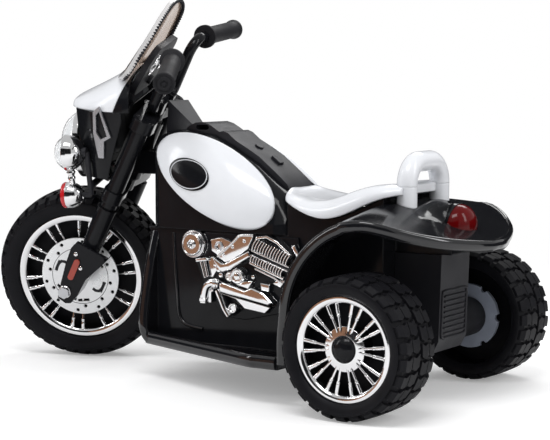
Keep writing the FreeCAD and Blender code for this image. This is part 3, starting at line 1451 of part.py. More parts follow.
case = new_body("gear_case")
case_pts = [(k.body_rear - k.seat_gap, k.case_low), (k.body_rear - k.seat_gap, k.case_top - k.seat_gap),
            (k.case_rear - k.case_wall, k.case_top - k.seat_gap), (k.case_rear, k.case_low + k.case_wall * 4),
            (k.case_rear + k.case_wall * 2, k.case_low)]
pad(case, outline(case, "XZ_Plane", case_pts, "case_side"), k.case_half * 2, middle=True)
case_hollow = [(k.body_rear, k.case_low + k.case_wall), (k.body_rear, k.case_top - k.case_wall),
               (k.case_rear + k.case_wall, k.case_top - k.case_wall),
               (k.case_rear + k.case_wall, k.case_low + k.case_wall * 4),
               (k.case_rear + k.case_wall * 3, k.case_low + k.case_wall)]
pocket(case, outline(case, "XZ_Plane", case_hollow, "case_hollow"), (k.case_half - k.case_wall) * 2, middle=True)
rib_low = k.case_low + k.case_wall * 6
vent_pts = [(-k.case_half + k.case_wall * 2, rib_low), (k.case_half - k.case_wall * 2, rib_low),
            (k.case_half - k.case_wall * 2, rib_low + k.vent_rib_height), (-k.case_half + k.case_wall * 2, rib_low + k.vent_rib_height)]
vent_sketch = outline(case, "YZ_Plane", vent_pts, "case_rib", k.case_rear - k.vent_rib_height)
vent = pad(case, vent_sketch, k.vent_rib_height * 2)
row_pattern(case, vent, (vent_sketch, ["V_Axis"]), k.vent_rib_count_pitch * (vent_ribs - 1), vent_ribs)
case_bore = rounds(case, "XZ_Plane", [(0, k.rear_radius, k.rear_axle_radius + k.seat_gap)], "case_bore")
pocket(case, case_bore, k.case_half * 3, middle=True)
keep("gear_case", case, home)

# Gearbox beside the right wheel with the motor in the body
gearbox_sizes = {
    "gearbox_radius": 27,
    "gearbox_nose_radius": 24,
    "motor_x": 56,
    "motor_z": 112,
    "motor_radius": 18,
    "motor_length": 58,
    "motor_boss": 9,
    "gearbox_gap": 1.5,
    "gearbox_width": 44,
}
table(gearbox_sizes)
gearbox_in = k.body_half + k.seat_gap
gearbox_out = k.track / 2 - rear_hub - k.drive_ring_depth - k.gearbox_gap
gearbox = new_body("gearbox")
plate_len = k.gearbox_width
box_lift = gearbox_in
slope_x = k.motor_x
gb_pts = [(0, k.rear_radius - k.gearbox_radius), (slope_x, k.motor_z - k.gearbox_nose_radius),
          (slope_x, k.motor_z + k.gearbox_nose_radius, slope_x + k.gearbox_nose_radius, k.motor_z),
          (0, k.rear_radius + k.gearbox_radius), (0, k.rear_radius - k.gearbox_radius, -k.gearbox_radius, k.rear_radius)]
gb_pts = gb_pts[1:]
pad(gearbox, outline(gearbox, "XZ_Plane", gb_pts, "gearbox_side", box_lift), plate_len)
hub_disc = rounds(gearbox, "XZ_Plane", [(0, k.rear_radius, k.gearbox_radius)], "gearbox_hub", gearbox_in + plate_len)
pad(gearbox, hub_disc, gearbox_out - gearbox_in - plate_len)
hub_bore = rounds(gearbox, "XZ_Plane", [(0, k.rear_radius, k.rear_axle_radius + k.seat_gap)], "hub_bore", gearbox_out + k.cut_overrun)
pocket(gearbox, hub_bore, gearbox_out - gearbox_in + k.cut_overrun * 2)
keep("gearbox", gearbox, home)
motor = new_body("motor")
motor_in = k.body_half - k.body_wall - k.seat_gap
can = rounds(motor, "XZ_Plane", [(k.motor_x, k.motor_z, k.motor_radius)], "motor_can", motor_in - k.motor_length)
pad(motor, can, k.motor_length)
nose_circle = rounds(motor, "XZ_Plane", [(k.motor_x, k.motor_z, k.motor_boss)], "motor_nose", motor_in)
pad(motor, nose_circle, k.body_wall)
keep("motor", motor, home)
motor_hole = rod("motor_hole", k.motor_boss + k.seat_gap, k.body_half, put(v(k.motor_x, 0, k.motor_z), turn(ahead, 90)))

# Accelerator pedal on the right footboard, hinged at the heel between two lugs
pedal_sizes = {
    "pedal_x": 286,
    "pedal_y": 90,
    "pedal_length": 52,
    "pedal_width": 26,
    "pedal_thickness": 4,
    "pedal_barrel": 4.5,
    "pedal_pin": 2.5,
    "pedal_rest": 14,
    "pedal_ridge": 1.5,
    "pedal_pitch": 9,
    "lug_length": 11,
    "lug_width": 4,
    "lug_height": 11,
    "socket_x": 145,
    "socket_z": 220,
    "socket_radius": 7,
    "socket_flange": 10,
    "socket_flange_height": 2,
    "socket_depth": 14,
    "screw_radius": 2,
    "screw_head": 4,
    "screw_head_height": 2.5,
    "screw_length": 16,
    "boss_radius": 6.5,
    "boss_height": 22,
    "boss_inset": 9,
}
table(pedal_sizes)
ridge_count = 5
pedal_z = floor_top + k.pedal_barrel + k.run_gap
pedal_put = put(v(k.pedal_x, -k.pedal_y, pedal_z), turn(across, -k.pedal_rest.value))
pedal = new_body("pedal_plate")
half_plate = k.pedal_thickness / 2
plate_pts = [(0, -half_plate), (k.pedal_length, -half_plate), (k.pedal_length, half_plate), (0, half_plate)]
pad(pedal, outline(pedal, "XZ_Plane", plate_pts, "pedal_side"), k.pedal_width, middle=True)
pad(pedal, rounds(pedal, "XZ_Plane", [(0, 0, k.pedal_barrel)], "pedal_barrel"), k.pedal_width, middle=True)
pad(pedal, rounds(pedal, "XZ_Plane", [(0, 0, k.pedal_pin)], "pedal_pin"), k.pedal_width + k.lug_width * 2, middle=True)
ridge_pts = [(k.pedal_pitch, half_plate), (k.pedal_pitch + k.pedal_ridge * 2, half_plate),
             (k.pedal_pitch + k.pedal_ridge * 2, half_plate + k.pedal_ridge), (k.pedal_pitch, half_plate + k.pedal_ridge)]
ridge_sketch = outline(pedal, "XZ_Plane", ridge_pts, "pedal_ridge")
ridge = pad(pedal, ridge_sketch, k.pedal_width, middle=True)
row_pattern(pedal, ridge, (ridge_sketch, ["H_Axis"]), k.pedal_pitch * (ridge_count - 1), ridge_count)
pedal.Placement = pedal_put
keep("accelerator_pedal", pedal, home)
lugs = []
for label, sign in (("near", 1), ("far", -1)):
    lug_mid = (k.pedal_width / 2 + k.run_gap + k.lug_width / 2) * sign - k.pedal_y
    lugs.append(block("pedal_lug_" + label, (k.lug_length, k.lug_width, k.lug_height + k.floor_thickness / 2),
                      (k.pedal_x - k.lug_length / 2, lug_mid - k.lug_width / 2, floor_top - k.floor_thickness / 2)))
pin_hole = rod("pedal_pin_hole", k.pedal_pin + k.shaft_gap, k.pedal_width * 2,
               put(v(k.pedal_x, k.pedal_width - k.pedal_y, pedal_z), turn(ahead, 90)))

# Charging socket in the right wall under the seat
socket = new_body("charge_socket")
flange_low = k.body_half + k.seat_gap
pad(socket, rounds(socket, "XZ_Plane", [(k.socket_x, k.socket_z, k.socket_flange)], "socket_flange", flange_low),
    k.socket_flange_height)
pad(socket, rounds(socket, "XZ_Plane", [(k.socket_x, k.socket_z, k.socket_radius)], "socket_barrel",
                   flange_low - k.socket_depth), k.socket_depth)
well = rounds(socket, "XZ_Plane", [(k.socket_x, k.socket_z, k.socket_radius / 2)], "socket_well",
              flange_low + k.socket_flange_height + k.cut_overrun)
pocket(socket, well, k.socket_depth / 2 + k.cut_overrun, back=False)
keep("charge_socket", socket, home)
socket_hole = rod("socket_hole", k.socket_radius + k.seat_gap, k.body_half, put(v(k.socket_x, 0, k.socket_z), turn(ahead, 90)))

# Screw bosses inside the column, screws through the bottom cover
screw_rows = [k.body_rear + k.boss_inset + k.boss_radius, (k.body_rear + k.body_front) / 2, k.body_front - k.boss_inset - k.boss_radius]
bosses = []
screw_holes = []
screws = []
screw_low = k.floor_low - k.cover_thickness - k.seat_gap * 2
for row, x in enumerate(screw_rows):
    for label, sign in (("l", 1), ("r", -1)):
        y = (k.body_half - k.boss_inset) * sign
        tag = "%d%s" % (row, label)
        bosses.append(rod("screw_boss_" + tag, k.boss_radius, k.boss_height, put(v(x, y, k.floor_low), turn())))
        screw_holes.append(rod("screw_hole_" + tag, k.screw_radius + k.seat_gap, k.screw_length + k.run_gap + k.cut_overrun,
                               put(v(x, y, k.floor_low - k.cover_thickness - k.cut_overrun), turn())))
        head_disc = rod("screw_head_" + tag, k.screw_head, k.screw_head_height, put(v(x, y, screw_low - k.screw_head_height), turn()))
        shank = rod("screw_shank_" + tag, k.screw_radius, k.screw_length, put(v(x, y, screw_low - k.seat_gap), turn()))
        screws.append(joined("screw_" + tag, [head_disc, shank]))
keep("cover_screws", group("screw_set", screws), home)

# Main body: column, neck, head, footboards and leg shields in one moulding, cut for the seat
column_cut = cut_from("column_for_motor", column, motor_hole)
seat_tool = shell("seat_tool", seat_outer)
main_parts = [column_cut, board, other_side(board), shield, other_side(shield), neck, head, stay] + lugs + bosses
main_raw = joined("main_fused", main_parts)
main_seat = cut_from("main_for_seat", main_raw, seat_tool)
main_holes = joined("main_holes", [head_bore, pin_hole, socket_hole] + screw_holes)
keep("main_body", cut_from("main_moulding", main_seat, main_holes), home)

# Bottom cover under the hollow column, and the screws that hold it
bottom = new_body("bottom_cover")
edge = k.body_half - k.cover_lip / 2
bottom_pts = [(k.body_rear + k.cover_lip, -edge), (k.body_front - k.cover_lip, -edge), (k.body_front - k.cover_lip, edge),
              (k.body_rear + k.cover_lip, edge)]
pad(bottom, outline(bottom, "XY_Plane", bottom_pts, "bottom_plan", k.floor_low - k.cover_thickness - k.seat_gap), k.cover_thickness)
keep("bottom_cover", cut_from("bottom_drilled", bottom, joined("cover_holes", screw_holes)), home)

# Battery standing on the bottom cover
battery_sizes = {
    "battery_length": 70,
    "battery_width": 48,
    "battery_height": 100,
    "battery_x": 230,
    "terminal_size": 5,
}
table(battery_sizes)
battery = new_body("battery")
half_l = k.battery_length / 2
half_w = k.battery_width / 2
pad(battery, outline(battery, "XY_Plane", [(k.battery_x - half_l, -half_w), (k.battery_x + half_l, -half_w),
                                           (k.battery_x + half_l, half_w), (k.battery_x - half_l, half_w)],
                     "battery_plan", k.floor_low), k.battery_height)
for end, sign in (("a", 1), ("b", -1)):
    tx = k.battery_x + half_l * 0.6 * sign
    t_half = k.terminal_size / 2
    tab = outline(battery, "XY_Plane", [(tx - t_half, -t_half), (tx + t_half, -t_half), (tx + t_half, t_half), (tx - t_half, t_half)],
                  "terminal_" + end, k.floor_low + k.battery_height)
    pad(battery, tab, k.terminal_size)
keep("battery", battery, home)

# Tank with the dark console on top and a white oval panel on each side
tank_sizes = {
    "tank_rear": 168,
    "tank_length": 227,
    "tank_height": 139,
    "tank_half": 76,
    "tank_wall": 4,
    "tank_round": 22,
    "panel_x": 291,
    "panel_y": 68,
    "panel_z": 283,
    "panel_yaw": 7,
    "panel_roll": 20,
    "panel_length": 220,
    "panel_height": 98,
    "panel_bulge": 18,
    "panel_skirt": 26,
    "panel_tilt": 26,
    "badge_x": 325,
    "badge_z": 284,
    "badge_length": 72,
    "badge_height": 42,
    "badge_thickness": 1.2,
    "badge_tilt": 18,
    "console_half": 31,
    "console_gap": 0.05,
    "arch_hole_length": 15,
    "arch_hole_height": 7,
    "arch_hole_x": 338,
    "arch_hole_z": 353.5,
}
table(tank_sizes)
tank_base = k.body_top + k.seat_gap
tank_top_shares = [(0.095, 0.40), (0.165, 0.48), (0.32, 0.67), (0.51, 0.84), (0.65, 0.945), (0.87, 0.995)]
tank_stations = [(0.0, 0.1, 0.9), (0.018, 0.24, 0.95)] + [p + (1.0,) for p in tank_top_shares] + [(0.96, 0.985, 0.97), (1.0, 0.95, 0.88)]
yaw = math.radians(float(k.panel_yaw))
roll = math.radians(float(k.panel_roll))
panel_normal = v(-math.sin(yaw), math.cos(yaw) * math.cos(roll), math.sin(roll)).normalize()
panel_rearward = (v(-1, 0, 0) - panel_normal * v(-1, 0, 0).dot(panel_normal)).normalize()
panel_upward = panel_normal.cross(panel_rearward)
panel_rotation = FreeCAD.Rotation(panel_rearward, panel_upward, panel_normal, "ZXY")
panel_put = put(v(k.panel_x, k.panel_y, k.panel_z), panel_rotation)


def side_y(x, z):
    # half width of the leaning tank side at one place
    return float(k.panel_y) - (panel_normal.x * (x - float(k.panel_x)) + panel_normal.z * (z - float(k.panel_z))) / panel_normal.y


def tank_section(x, top, base, wide):
    corner = max(top - float(k.tank_round), (top + base) / 2)
    tall = corner - base
    lean = side_y(x, corner)
    slim = min(lean, wide * 0.98)
    knee = float(k.panel_z) + (side_y(x, float(k.panel_z)) - wide) * panel_normal.y / panel_normal.z
    knee = min(max(knee, base + tall * 0.1), base + tall * 0.9)
    crown = float(k.console_half) + float(k.tank_wall)
    mid_y = crown + (slim - crown) * 0.66
    mid_z = corner + (top - corner) * 0.72
    run = [v(x, slim, corner), v(x, wide, knee), v(x, wide, base), v(x, -wide, base), v(x, -wide, knee), v(x, -slim, corner)]
    edges = [Part.LineSegment(a, b).toShape() for a, b in zip(run, run[1:])]
    edges.append(Part.Arc(v(x, -slim, corner), v(x, -mid_y, mid_z), v(x, -crown, top)).toShape())
    edges.append(Part.LineSegment(v(x, -crown, top), v(x, crown, top)).toShape())
    edges.append(Part.Arc(v(x, crown, top), v(x, mid_y, mid_z), v(x, slim, corner)).toShape())
    return Part.Wire(edges)


def tank_form():
    wires = []
    for along, tall, wide in tank_stations:
        x = float(k.tank_rear) + float(k.tank_length) * along
        base = float(tank_base)
        wires.append(tank_section(x, base + float(k.tank_height) * tall, base, float(k.tank_half) * wide))
    return Part.makeLoft(wires, True, True)


tank_fill = tank_form()
tank_room = new_body("tank_room")
tank_hollow_shares = [(0.04, -0.05), (0.05, 0.12), (0.2, 0.42), (0.52, 0.77), (0.66, 0.88), (0.88, 0.92), (0.96, 0.86), (0.96, -0.05)]
hollow_tank = spread(tank_hollow_shares, k.tank_length, k.tank_height, k.tank_rear, tank_base)
pad(tank_room, outline(tank_room, "XZ_Plane", hollow_tank, "tank_hollow"), (k.console_half + k.tank_wall) * 2, middle=True)
keep("tank", cut_from("tank_shell", shell("tank_form", tank_fill), tank_room), home)


def oval_dome(extra):
    # swollen oval standing on the leaning side of the tank
    bulge = float(k.panel_bulge)
    share = math.sqrt(0.75)
    form = FreeCAD.Matrix()
    form.scale(v(float(k.panel_length) / 2 / share + extra, float(k.panel_height) / 2 / share + extra, bulge * 2 + extra))
    oval = Part.makeSphere(1).transformGeometry(form)
    oval.translate(v(0, 0, -bulge))
    return oval


def oval_prism(length, height, low, high):
    face = Part.Face(Part.Wire([Part.Ellipse(v(0, 0, 0), length / 2, height / 2).toShape()]))
    prism = face.extrude(v(0, 0, high - low))
    prism.translate(v(0, 0, low))
    return prism


oval_put = panel_put.multiply(put(v(), turn(upward, -k.panel_tilt.value)))
room = float(k.panel_length)
above = Part.makeBox(room * 2, room * 2, room, v(-room, -room, 0))
panel_form = oval_dome(0).common(above).fuse(oval_prism(float(k.panel_length), float(k.panel_height), -float(k.panel_skirt), 0))
panel_form = panel_form.removeSplitter()
panel_form.Placement = oval_put
tank_clear = tank_fill.copy()
panel_form = panel_form.cut(tank_clear)
panel_form = max(panel_form.Solids, key=lambda part: part.Volume)
badge_high = float(k.panel_bulge) * 3
badge_cut = oval_prism(float(k.badge_length), float(k.badge_height), float(k.panel_bulge) / 3, badge_high)
badge_cut.Placement = put(v(k.badge_x, k.panel_y, k.badge_z), panel_rotation).multiply(put(v(), turn(upward, -k.badge_tilt.value)))
badge_form = oval_dome(float(k.badge_thickness)).cut(oval_dome(0))
badge_form.Placement = oval_put
badge_form = badge_form.common(badge_cut)
panel_pair = Part.makeCompound([panel_form, panel_form.mirror(v(0, 0, 0), across)])
keep("tank_panels", shell("panel_pair", panel_pair), home)
badge_pair = Part.makeCompound([badge_form.Solids[0], badge_form.mirror(v(0, 0, 0), across).Solids[0]])
keep("tank_badges", shell("badge_pair", badge_pair), home)

console_bottom = spread(tank_top_shares, k.tank_length, k.tank_height, k.tank_rear, tank_base + k.console_gap)
console_top_shares = [(0.87, 1.01), (0.845, 1.035), (0.8, 1.065), (0.75, 1.072), (0.7, 1.05), (0.655, 1.01), (0.62, 0.975),
                      (0.59, 0.985), (0.555, 0.965), (0.5, 0.895), (0.4, 0.81), (0.32, 0.735), (0.2, 0.585), (0.12, 0.475)]
console_top = spread(console_top_shares, k.tank_length, k.tank_height, k.tank_rear, tank_base)
console = new_body("console")
pad(console, outline(console, "XZ_Plane", console_bottom + console_top, "console_side"), k.console_half * 2, middle=True)
hole_l = k.arch_hole_length / 2
hole_h = k.arch_hole_height / 2
slot_pts = [(k.arch_hole_x - hole_l, k.arch_hole_z - hole_h), (k.arch_hole_x + hole_l, k.arch_hole_z - hole_h),
            (k.arch_hole_x + hole_l, k.arch_hole_z + hole_h, k.arch_hole_x + hole_l + hole_h, k.arch_hole_z),
            (k.arch_hole_x - hole_l, k.arch_hole_z + hole_h)]
slot_pts[0] = slot_pts[0] + (k.arch_hole_x - hole_l - hole_h, k.arch_hole_z)
pocket(console, outline(console, "XZ_Plane", slot_pts, "console_slot"), k.console_half * 3, middle=True)

# Power button and direction rocker in wells on the console's slope
switch_sizes = {
    "button_radius": 6,
    "button_height": 5.5,
    "button_proud": 2.5,
    "button_x": 262,
    "rocker_x": 232,
    "rocker_length": 16,
    "rocker_width": 11,
    "rocker_height": 6,
    "rocker_proud": 3.5,
    "well_depth": 5,
}
table(switch_sizes)
slope_a = spread([(0.2, 0.585)], k.tank_length, k.tank_height, k.tank_rear, tank_base)[0]
slope_b = spread([(0.4, 0.81)], k.tank_length, k.tank_height, k.tank_rear, tank_base)[0]
mid_slope = spread([(0.32, 0.735)], k.tank_length, k.tank_height, k.tank_rear, tank_base)[0]


def on_slope(x):
    # frame on the console's top at one place: Z out of the surface
    low, high = (slope_a, mid_slope) if float(x) < float(mid_slope[0]) else (mid_slope, slope_b)
    run = float(high[0]) - float(low[0])
    climb = float(high[1]) - float(low[1])
    z = float(low[1]) + climb * (float(x) - float(low[0])) / run
    return put(v(float(x), 0, z), turn(across, -math.degrees(math.atan2(climb, run))))


button_put = on_slope(k.button_x)
rocker_put = on_slope(k.rocker_x)
button_well = rod("button_well", k.button_radius + k.run_gap, k.well_depth * 2, button_put.multiply(put(v(0, 0, -k.well_depth), turn())))
rocker_well = doc.addObject("Part::Box", "rocker_well")
rocker_well.setExpression("Length", (k.rocker_length + k.run_gap * 3).text)
rocker_well.setExpression("Width", (k.rocker_width + k.run_gap * 2).text)
rocker_well.setExpression("Height", (k.well_depth * 2).text)
rocker_well.Placement = rocker_put.multiply(put(v(-k.rocker_length / 2 - k.run_gap * 1.5, -k.rocker_width / 2 - k.run_gap, -k.well_depth), turn()))
keep("console", cut_from("console_wells", cut_from("console_button", console, button_well), rocker_well), home)
keep("power_button", rod("button_stub", k.button_radius, k.button_height,
                         button_put.multiply(put(v(0, 0, k.button_proud - k.button_height), turn()))), home)
rocker = doc.addObject("Part::Box", "rocker_block")
rocker.setExpression("Length", k.rocker_length.text)
rocker.setExpression("Width", k.rocker_width.text)
rocker.setExpression("Height", k.rocker_height.text)
rocker.Placement = rocker_put.multiply(put(v(-k.rocker_length / 2, -k.rocker_width / 2, k.rocker_proud - k.rocker_height), turn()))
keep("direction_rocker", rocker, home)

# Neck cowl: flat sloping top that narrows towards the tank
neck_cowl_sizes = {
    "cowl_front_x": 403,
    "cowl_front_top": 391,
    "cowl_front_half": 24,
    "cowl_front_base_half": 32,
    "cowl_rear_top": 357,
    "cowl_rear_lap": 27,
    "cowl_rear_half": 14,
    "cowl_rear_base_half": 48,
}
table(neck_cowl_sizes)


def neck_section(x, half, base_half, top, base):
    pts = [v(x, -base_half, base), v(x, -half, top), v(x, half, top), v(x, base_half, base)]
    return Part.makePolygon(pts + pts[:1])


cowl_base = float(k.neck_top) + float(k.seat_gap)
tank_nose = float(k.tank_rear) + float(k.tank_length) + float(k.seat_gap)
neck_rear = neck_section(tank_nose - float(k.cowl_rear_lap), float(k.cowl_rear_half), float(k.cowl_rear_base_half),
                         float(k.cowl_rear_top), cowl_base)
neck_front = neck_section(float(k.cowl_front_x), float(k.cowl_front_half), float(k.cowl_front_base_half),
                          float(k.cowl_front_top), cowl_base)
neck_loft = Part.makeLoft([neck_rear, neck_front], True, True).cut(tank_fill)
neck_loft = max(neck_loft.Solids, key=lambda part: part.Volume)
keep("neck_cowl", shell("neck_cowl_form", neck_loft), home)

# Engine dress: chrome moulding on each side of the body
engine_sizes = {
    "engine_plate": 4,
    "engine_low": 92,
    "engine_rear": 135,
    "engine_length": 190,
    "engine_height": 118,
    "cleaner_x": 316,
    "cleaner_z": 192,
    "cleaner_radius": 19,
    "cleaner_depth": 16,
    "cleaner_cap_radius": 12,
    "cleaner_cap_depth": 3,
    "fin_width": 2,
    "fin_pitch": 5,
    "fin_depth": 20,
    "head_block_depth": 15,
    "primary_depth": 15,
    "strap_depth": 9,
}
table(engine_sizes)
fin_count = 10
engine = new_body("engine_cover")
face_y = k.body_half + k.seat_gap


def engine_pts(shares):
    return spread(shares, k.engine_length, k.engine_height, k.engine_rear, k.engine_low)


plate_shares = [(0.03, 0.62), (0.2, 0.12), (0.52, 0.0), (0.72, 0.02), (0.86, 0.3), (0.98, 0.72), (1.0, 0.95),
                (0.86, 1.0), (0.55, 1.0), (0.07, 1.0)]
pad(engine, outline(engine, "XZ_Plane", engine_pts(plate_shares), "engine_plate", -face_y), k.engine_plate, back=True)
rise_from = -face_y - k.engine_plate * 0.5
pad(engine, rounds(engine, "XZ_Plane", [(k.cleaner_x, k.cleaner_z, k.cleaner_radius)], "air_cleaner", rise_from), k.cleaner_depth, back=True)
pad(engine, rounds(engine, "XZ_Plane", [(k.cleaner_x, k.cleaner_z, k.cleaner_cap_radius)], "air_cleaner_cap", rise_from - k.cleaner_depth * 0.9),
    k.cleaner_cap_depth + k.cleaner_depth * 0.1, back=True)
upper_block = [(0.09, 0.8), (0.34, 0.72), (0.37, 0.97), (0.13, 1.0)]
lower_block = [(0.09, 0.56), (0.36, 0.5), (0.38, 0.68), (0.1, 0.76)]
for label, shares in (("upper", upper_block), ("lower", lower_block)):
    pad(engine, outline(engine, "XZ_Plane", engine_pts(shares), "cylinder_" + label, rise_from), k.head_block_depth, back=True)
strap = [(0.38, 0.78), (0.62, 0.66), (0.72, 0.84), (0.6, 1.0), (0.4, 1.0)]
pad(engine, outline(engine, "XZ_Plane", engine_pts(strap), "rocker_plate", rise_from), k.strap_depth, back=True)
primary = [(0.22, 0.24), (0.3, 0.12, 0.22, 0.15), (0.66, 0.3), (0.62, 0.48, 0.72, 0.42), (0.26, 0.36)]
pad(engine, outline(engine, "XZ_Plane", engine_pts(primary), "primary_cover", rise_from), k.primary_depth, back=True)
inner_primary = [(0.27, 0.27), (0.32, 0.2, 0.27, 0.21), (0.6, 0.34), (0.58, 0.42, 0.65, 0.4), (0.29, 0.33)]
pad(engine, outline(engine, "XZ_Plane", engine_pts(inner_primary), "primary_boss", rise_from - k.primary_depth * 0.9),
    k.strap_depth * 0.6, back=True)
elbow = [(0.66, 0.16), (0.74, 0.16), (0.76, 0.36), (0.84, 0.44, 0.77, 0.42), (0.84, 0.52), (0.68, 0.4, 0.72, 0.52)]
pad(engine, outline(engine, "XZ_Plane", engine_pts(elbow), "exhaust_elbow", rise_from), k.primary_depth, back=True)
pipe = [(0.5, 0.06), (0.57, 0.0), (0.74, 0.26), (0.63, 0.33)]
pad(engine, outline(engine, "XZ_Plane", engine_pts(pipe), "exhaust_pipe", rise_from), k.primary_depth * 0.8, back=True)
tubes = [(0.78, 0.5), (0.84, 0.48), (0.9, 0.7), (0.84, 0.72)]
pad(engine, outline(engine, "XZ_Plane", engine_pts(tubes), "push_rods", rise_from), k.strap_depth, back=True)
fin_x, fin_z = engine_pts([(0.13, 0.79)])[0]
fin_tall = k.engine_height * 0.2
fin = outline(engine, "XZ_Plane", [(fin_x, fin_z), (fin_x + k.fin_width, fin_z), (fin_x + k.fin_width, fin_z + fin_tall), (fin_x, fin_z + fin_tall)],
              "head_fin", rise_from - k.head_block_depth * 0.8)
fin_pad = pad(engine, fin, k.fin_depth - k.head_block_depth * 0.8, back=True)
row_pattern(engine, fin_pad, (fin, ["H_Axis"]), k.fin_pitch * (fin_count - 2), fin_count - 1)
fin2_x, fin2_z = engine_pts([(0.12, 0.55)])[0]
fin2 = outline(engine, "XZ_Plane", [(fin2_x, fin2_z), (fin2_x + k.fin_width, fin2_z), (fin2_x + k.fin_width, fin2_z + fin_tall * 0.8),
                                    (fin2_x, fin2_z + fin_tall * 0.8)], "barrel_fin", rise_from - k.head_block_depth * 0.8)
fin2_pad = pad(engine, fin2, k.fin_depth - k.head_block_depth * 0.8, back=True)
row_pattern(engine, fin2_pad, (fin2, ["H_Axis"]), k.fin_pitch * (fin_count - 1), fin_count)
keep("engine_covers", both_sides("engine_pair", engine), home)

doc.recompute()

broken = [o.Name for o in doc.Objects if "Invalid" in o.State or "Error" in o.State]
if broken:
    raise RuntimeError("failed: " + ", ".join(broken))
for label, item in nodes.items():
    if item.Shape.isNull() or not item.Shape.isValid() or not item.Shape.Solids:
        raise RuntimeError("bad shape: " + label)
os.makedirs("parts", exist_ok=True)
for label, item in nodes.items():
    item.Shape.exportStep("parts/%s.step" % label)
print(len(nodes), "nodes")
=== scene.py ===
import bpy, bmesh, json, math, numpy
from mathutils import Matrix, Vector
from mathutils.bvhtree import BVHTree


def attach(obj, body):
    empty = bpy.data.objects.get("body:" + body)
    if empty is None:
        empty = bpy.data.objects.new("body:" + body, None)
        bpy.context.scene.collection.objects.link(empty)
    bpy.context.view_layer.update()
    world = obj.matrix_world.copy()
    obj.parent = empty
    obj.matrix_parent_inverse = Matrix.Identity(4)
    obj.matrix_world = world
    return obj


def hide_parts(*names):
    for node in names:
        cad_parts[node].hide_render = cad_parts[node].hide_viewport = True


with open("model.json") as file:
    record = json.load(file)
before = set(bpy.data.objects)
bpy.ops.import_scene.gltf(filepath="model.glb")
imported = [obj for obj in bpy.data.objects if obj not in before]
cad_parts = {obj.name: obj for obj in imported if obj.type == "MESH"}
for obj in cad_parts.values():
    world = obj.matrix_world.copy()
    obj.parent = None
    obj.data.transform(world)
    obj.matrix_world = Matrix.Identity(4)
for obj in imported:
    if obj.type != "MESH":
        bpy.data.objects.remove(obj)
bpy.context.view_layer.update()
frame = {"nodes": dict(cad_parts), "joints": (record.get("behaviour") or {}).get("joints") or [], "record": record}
nodes = frame["nodes"]
bodyOf = {n: b for b, names in frame["record"]["behaviour"]["bodies"].items() for n in names}
joints = {j["name"]: j for j in frame["joints"]}
scene = bpy.context.scene
mm = 1000  # millimetres in a metre
print("frame loaded:", len(nodes), "nodes")


def addObject(name, data, place=(0, 0, 0), facing=None):
    thing = bpy.data.objects.new(name, data)
    scene.collection.objects.link(thing)
    thing.location = place
    if facing is not None:
        thing.rotation_mode = "QUATERNION"
        thing.rotation_quaternion = facing.to_track_quat("-Z", "Y")
    return thing


# camera where the photograph was taken
shot = {"at": (-1.33772, 1.943, 0.435), "azimuth": 213.26, "elevation": 5.18, "lens": 108.6, "sensor": 36,
        "clip": (0.05, 60)}
az, el = math.radians(shot["azimuth"]), math.radians(shot["elevation"])
back = Vector((math.sin(az) * math.cos(el), -math.cos(az) * math.cos(el), math.sin(el)))
cam = addObject("shotCamera", bpy.data.cameras.new("shotCamera"), shot["at"], -back)
cam.data.sensor_width = shot["sensor"]
cam.data.lens = shot["lens"]
cam.data.clip_start, cam.data.clip_end = shot["clip"]
scene.camera = cam
scene.view_settings.view_transform = "Standard"


def fill(tree, node, inputs):
    # a socket or a node's first output is linked to the input, anything else is its value
    for key, value in inputs.items():
        if isinstance(value, bpy.types.Node):
            value = value.outputs[0]
        if isinstance(value, bpy.types.NodeSocket):
            tree.links.new(value, node.inputs[key])
        else:
            node.inputs[key].default_value = value


def addNode(tree, kind, inputs, **settings):
    node = tree.nodes.new(kind)
    for label, value in settings.items():
        setattr(node, label, value)
    fill(tree, node, inputs)
    return node


def mathNode(tree, operation, a, b):
    return addNode(tree, "ShaderNodeMath", {0: a, 1: b}, operation=operation)


def spotNode(tree):
    return addNode(tree, "ShaderNodeTexCoord", {}).outputs["Object"]


def newPaint(name, inputs):
    paint = bpy.data.materials.new(name)
    paint.use_nodes = True
    flat = paint.node_tree.nodes["Principled BSDF"]
    fill(paint.node_tree, flat, inputs)
    return paint, paint.node_tree, flat


# pale floor, white background, soft lamps
studio = {
    "floor": {"Base Color": (0.9, 0.9, 0.905, 1), "Roughness": 0.7, "Specular IOR Level": 0.1},
    "reach": 30, "sky": 0.55, "lift": 0.25, "fade": (0.75, 1.5), "white": (1, 1, 1, 1), "aim": (0.0, 0.0, 0.22),
    "lamps": [  # place, size, watts
        ((-0.5, 1.2, 2.5), (1.5, 0.7), 30),
        ((1.9, 1.5, 1.4), (0.35, 1.7), 13),
        ((-2.2, -0.4, 1.5), (0.4, 1.6), 13),
        ((0.2, -1.8, 1.9), (1.6, 0.6), 16),
    ],
    "walls": [  # cards that only reflections show: radius, from and to azimuth, low and high edge, colour
        (3.3, 20, 150, 0.0, 2.1, (0.012, 0.012, 0.013, 1)),
        (1.25, 30, 78, 0.0, 0.5, (0.30, 0.155, 0.09, 1)),
        (1.6, 78, 106, 0.0, 0.6, (0.02, 0.02, 0.022, 1)),
        (1.6, -20, 30, 0.0, 0.5, (0.02, 0.02, 0.022, 1)),
        (1.5, 205, 255, 0.0, 0.45, (0.02, 0.02, 0.022, 1)),
        (2.4, 258, 303, 0.1, 2.2, (0.012, 0.012, 0.013, 1)),
        (2.4, 303, 345, 0.1, 0.9, (0.05, 0.05, 0.052, 1)),
    ],
    "wallSteps": 12, "wallPaint": {"Roughness": 0.9, "Specular IOR Level": 0.05},
}


def seenRay(tree, *kinds):
    # 1 for a ray of one of these kinds
    path = tree.nodes.new("ShaderNodeLightPath")
    seen = path.outputs[kinds[0]]
    for kind in kinds[1:]:
        seen = mathNode(tree, "MAXIMUM", seen, path.outputs[kind])
    return seen


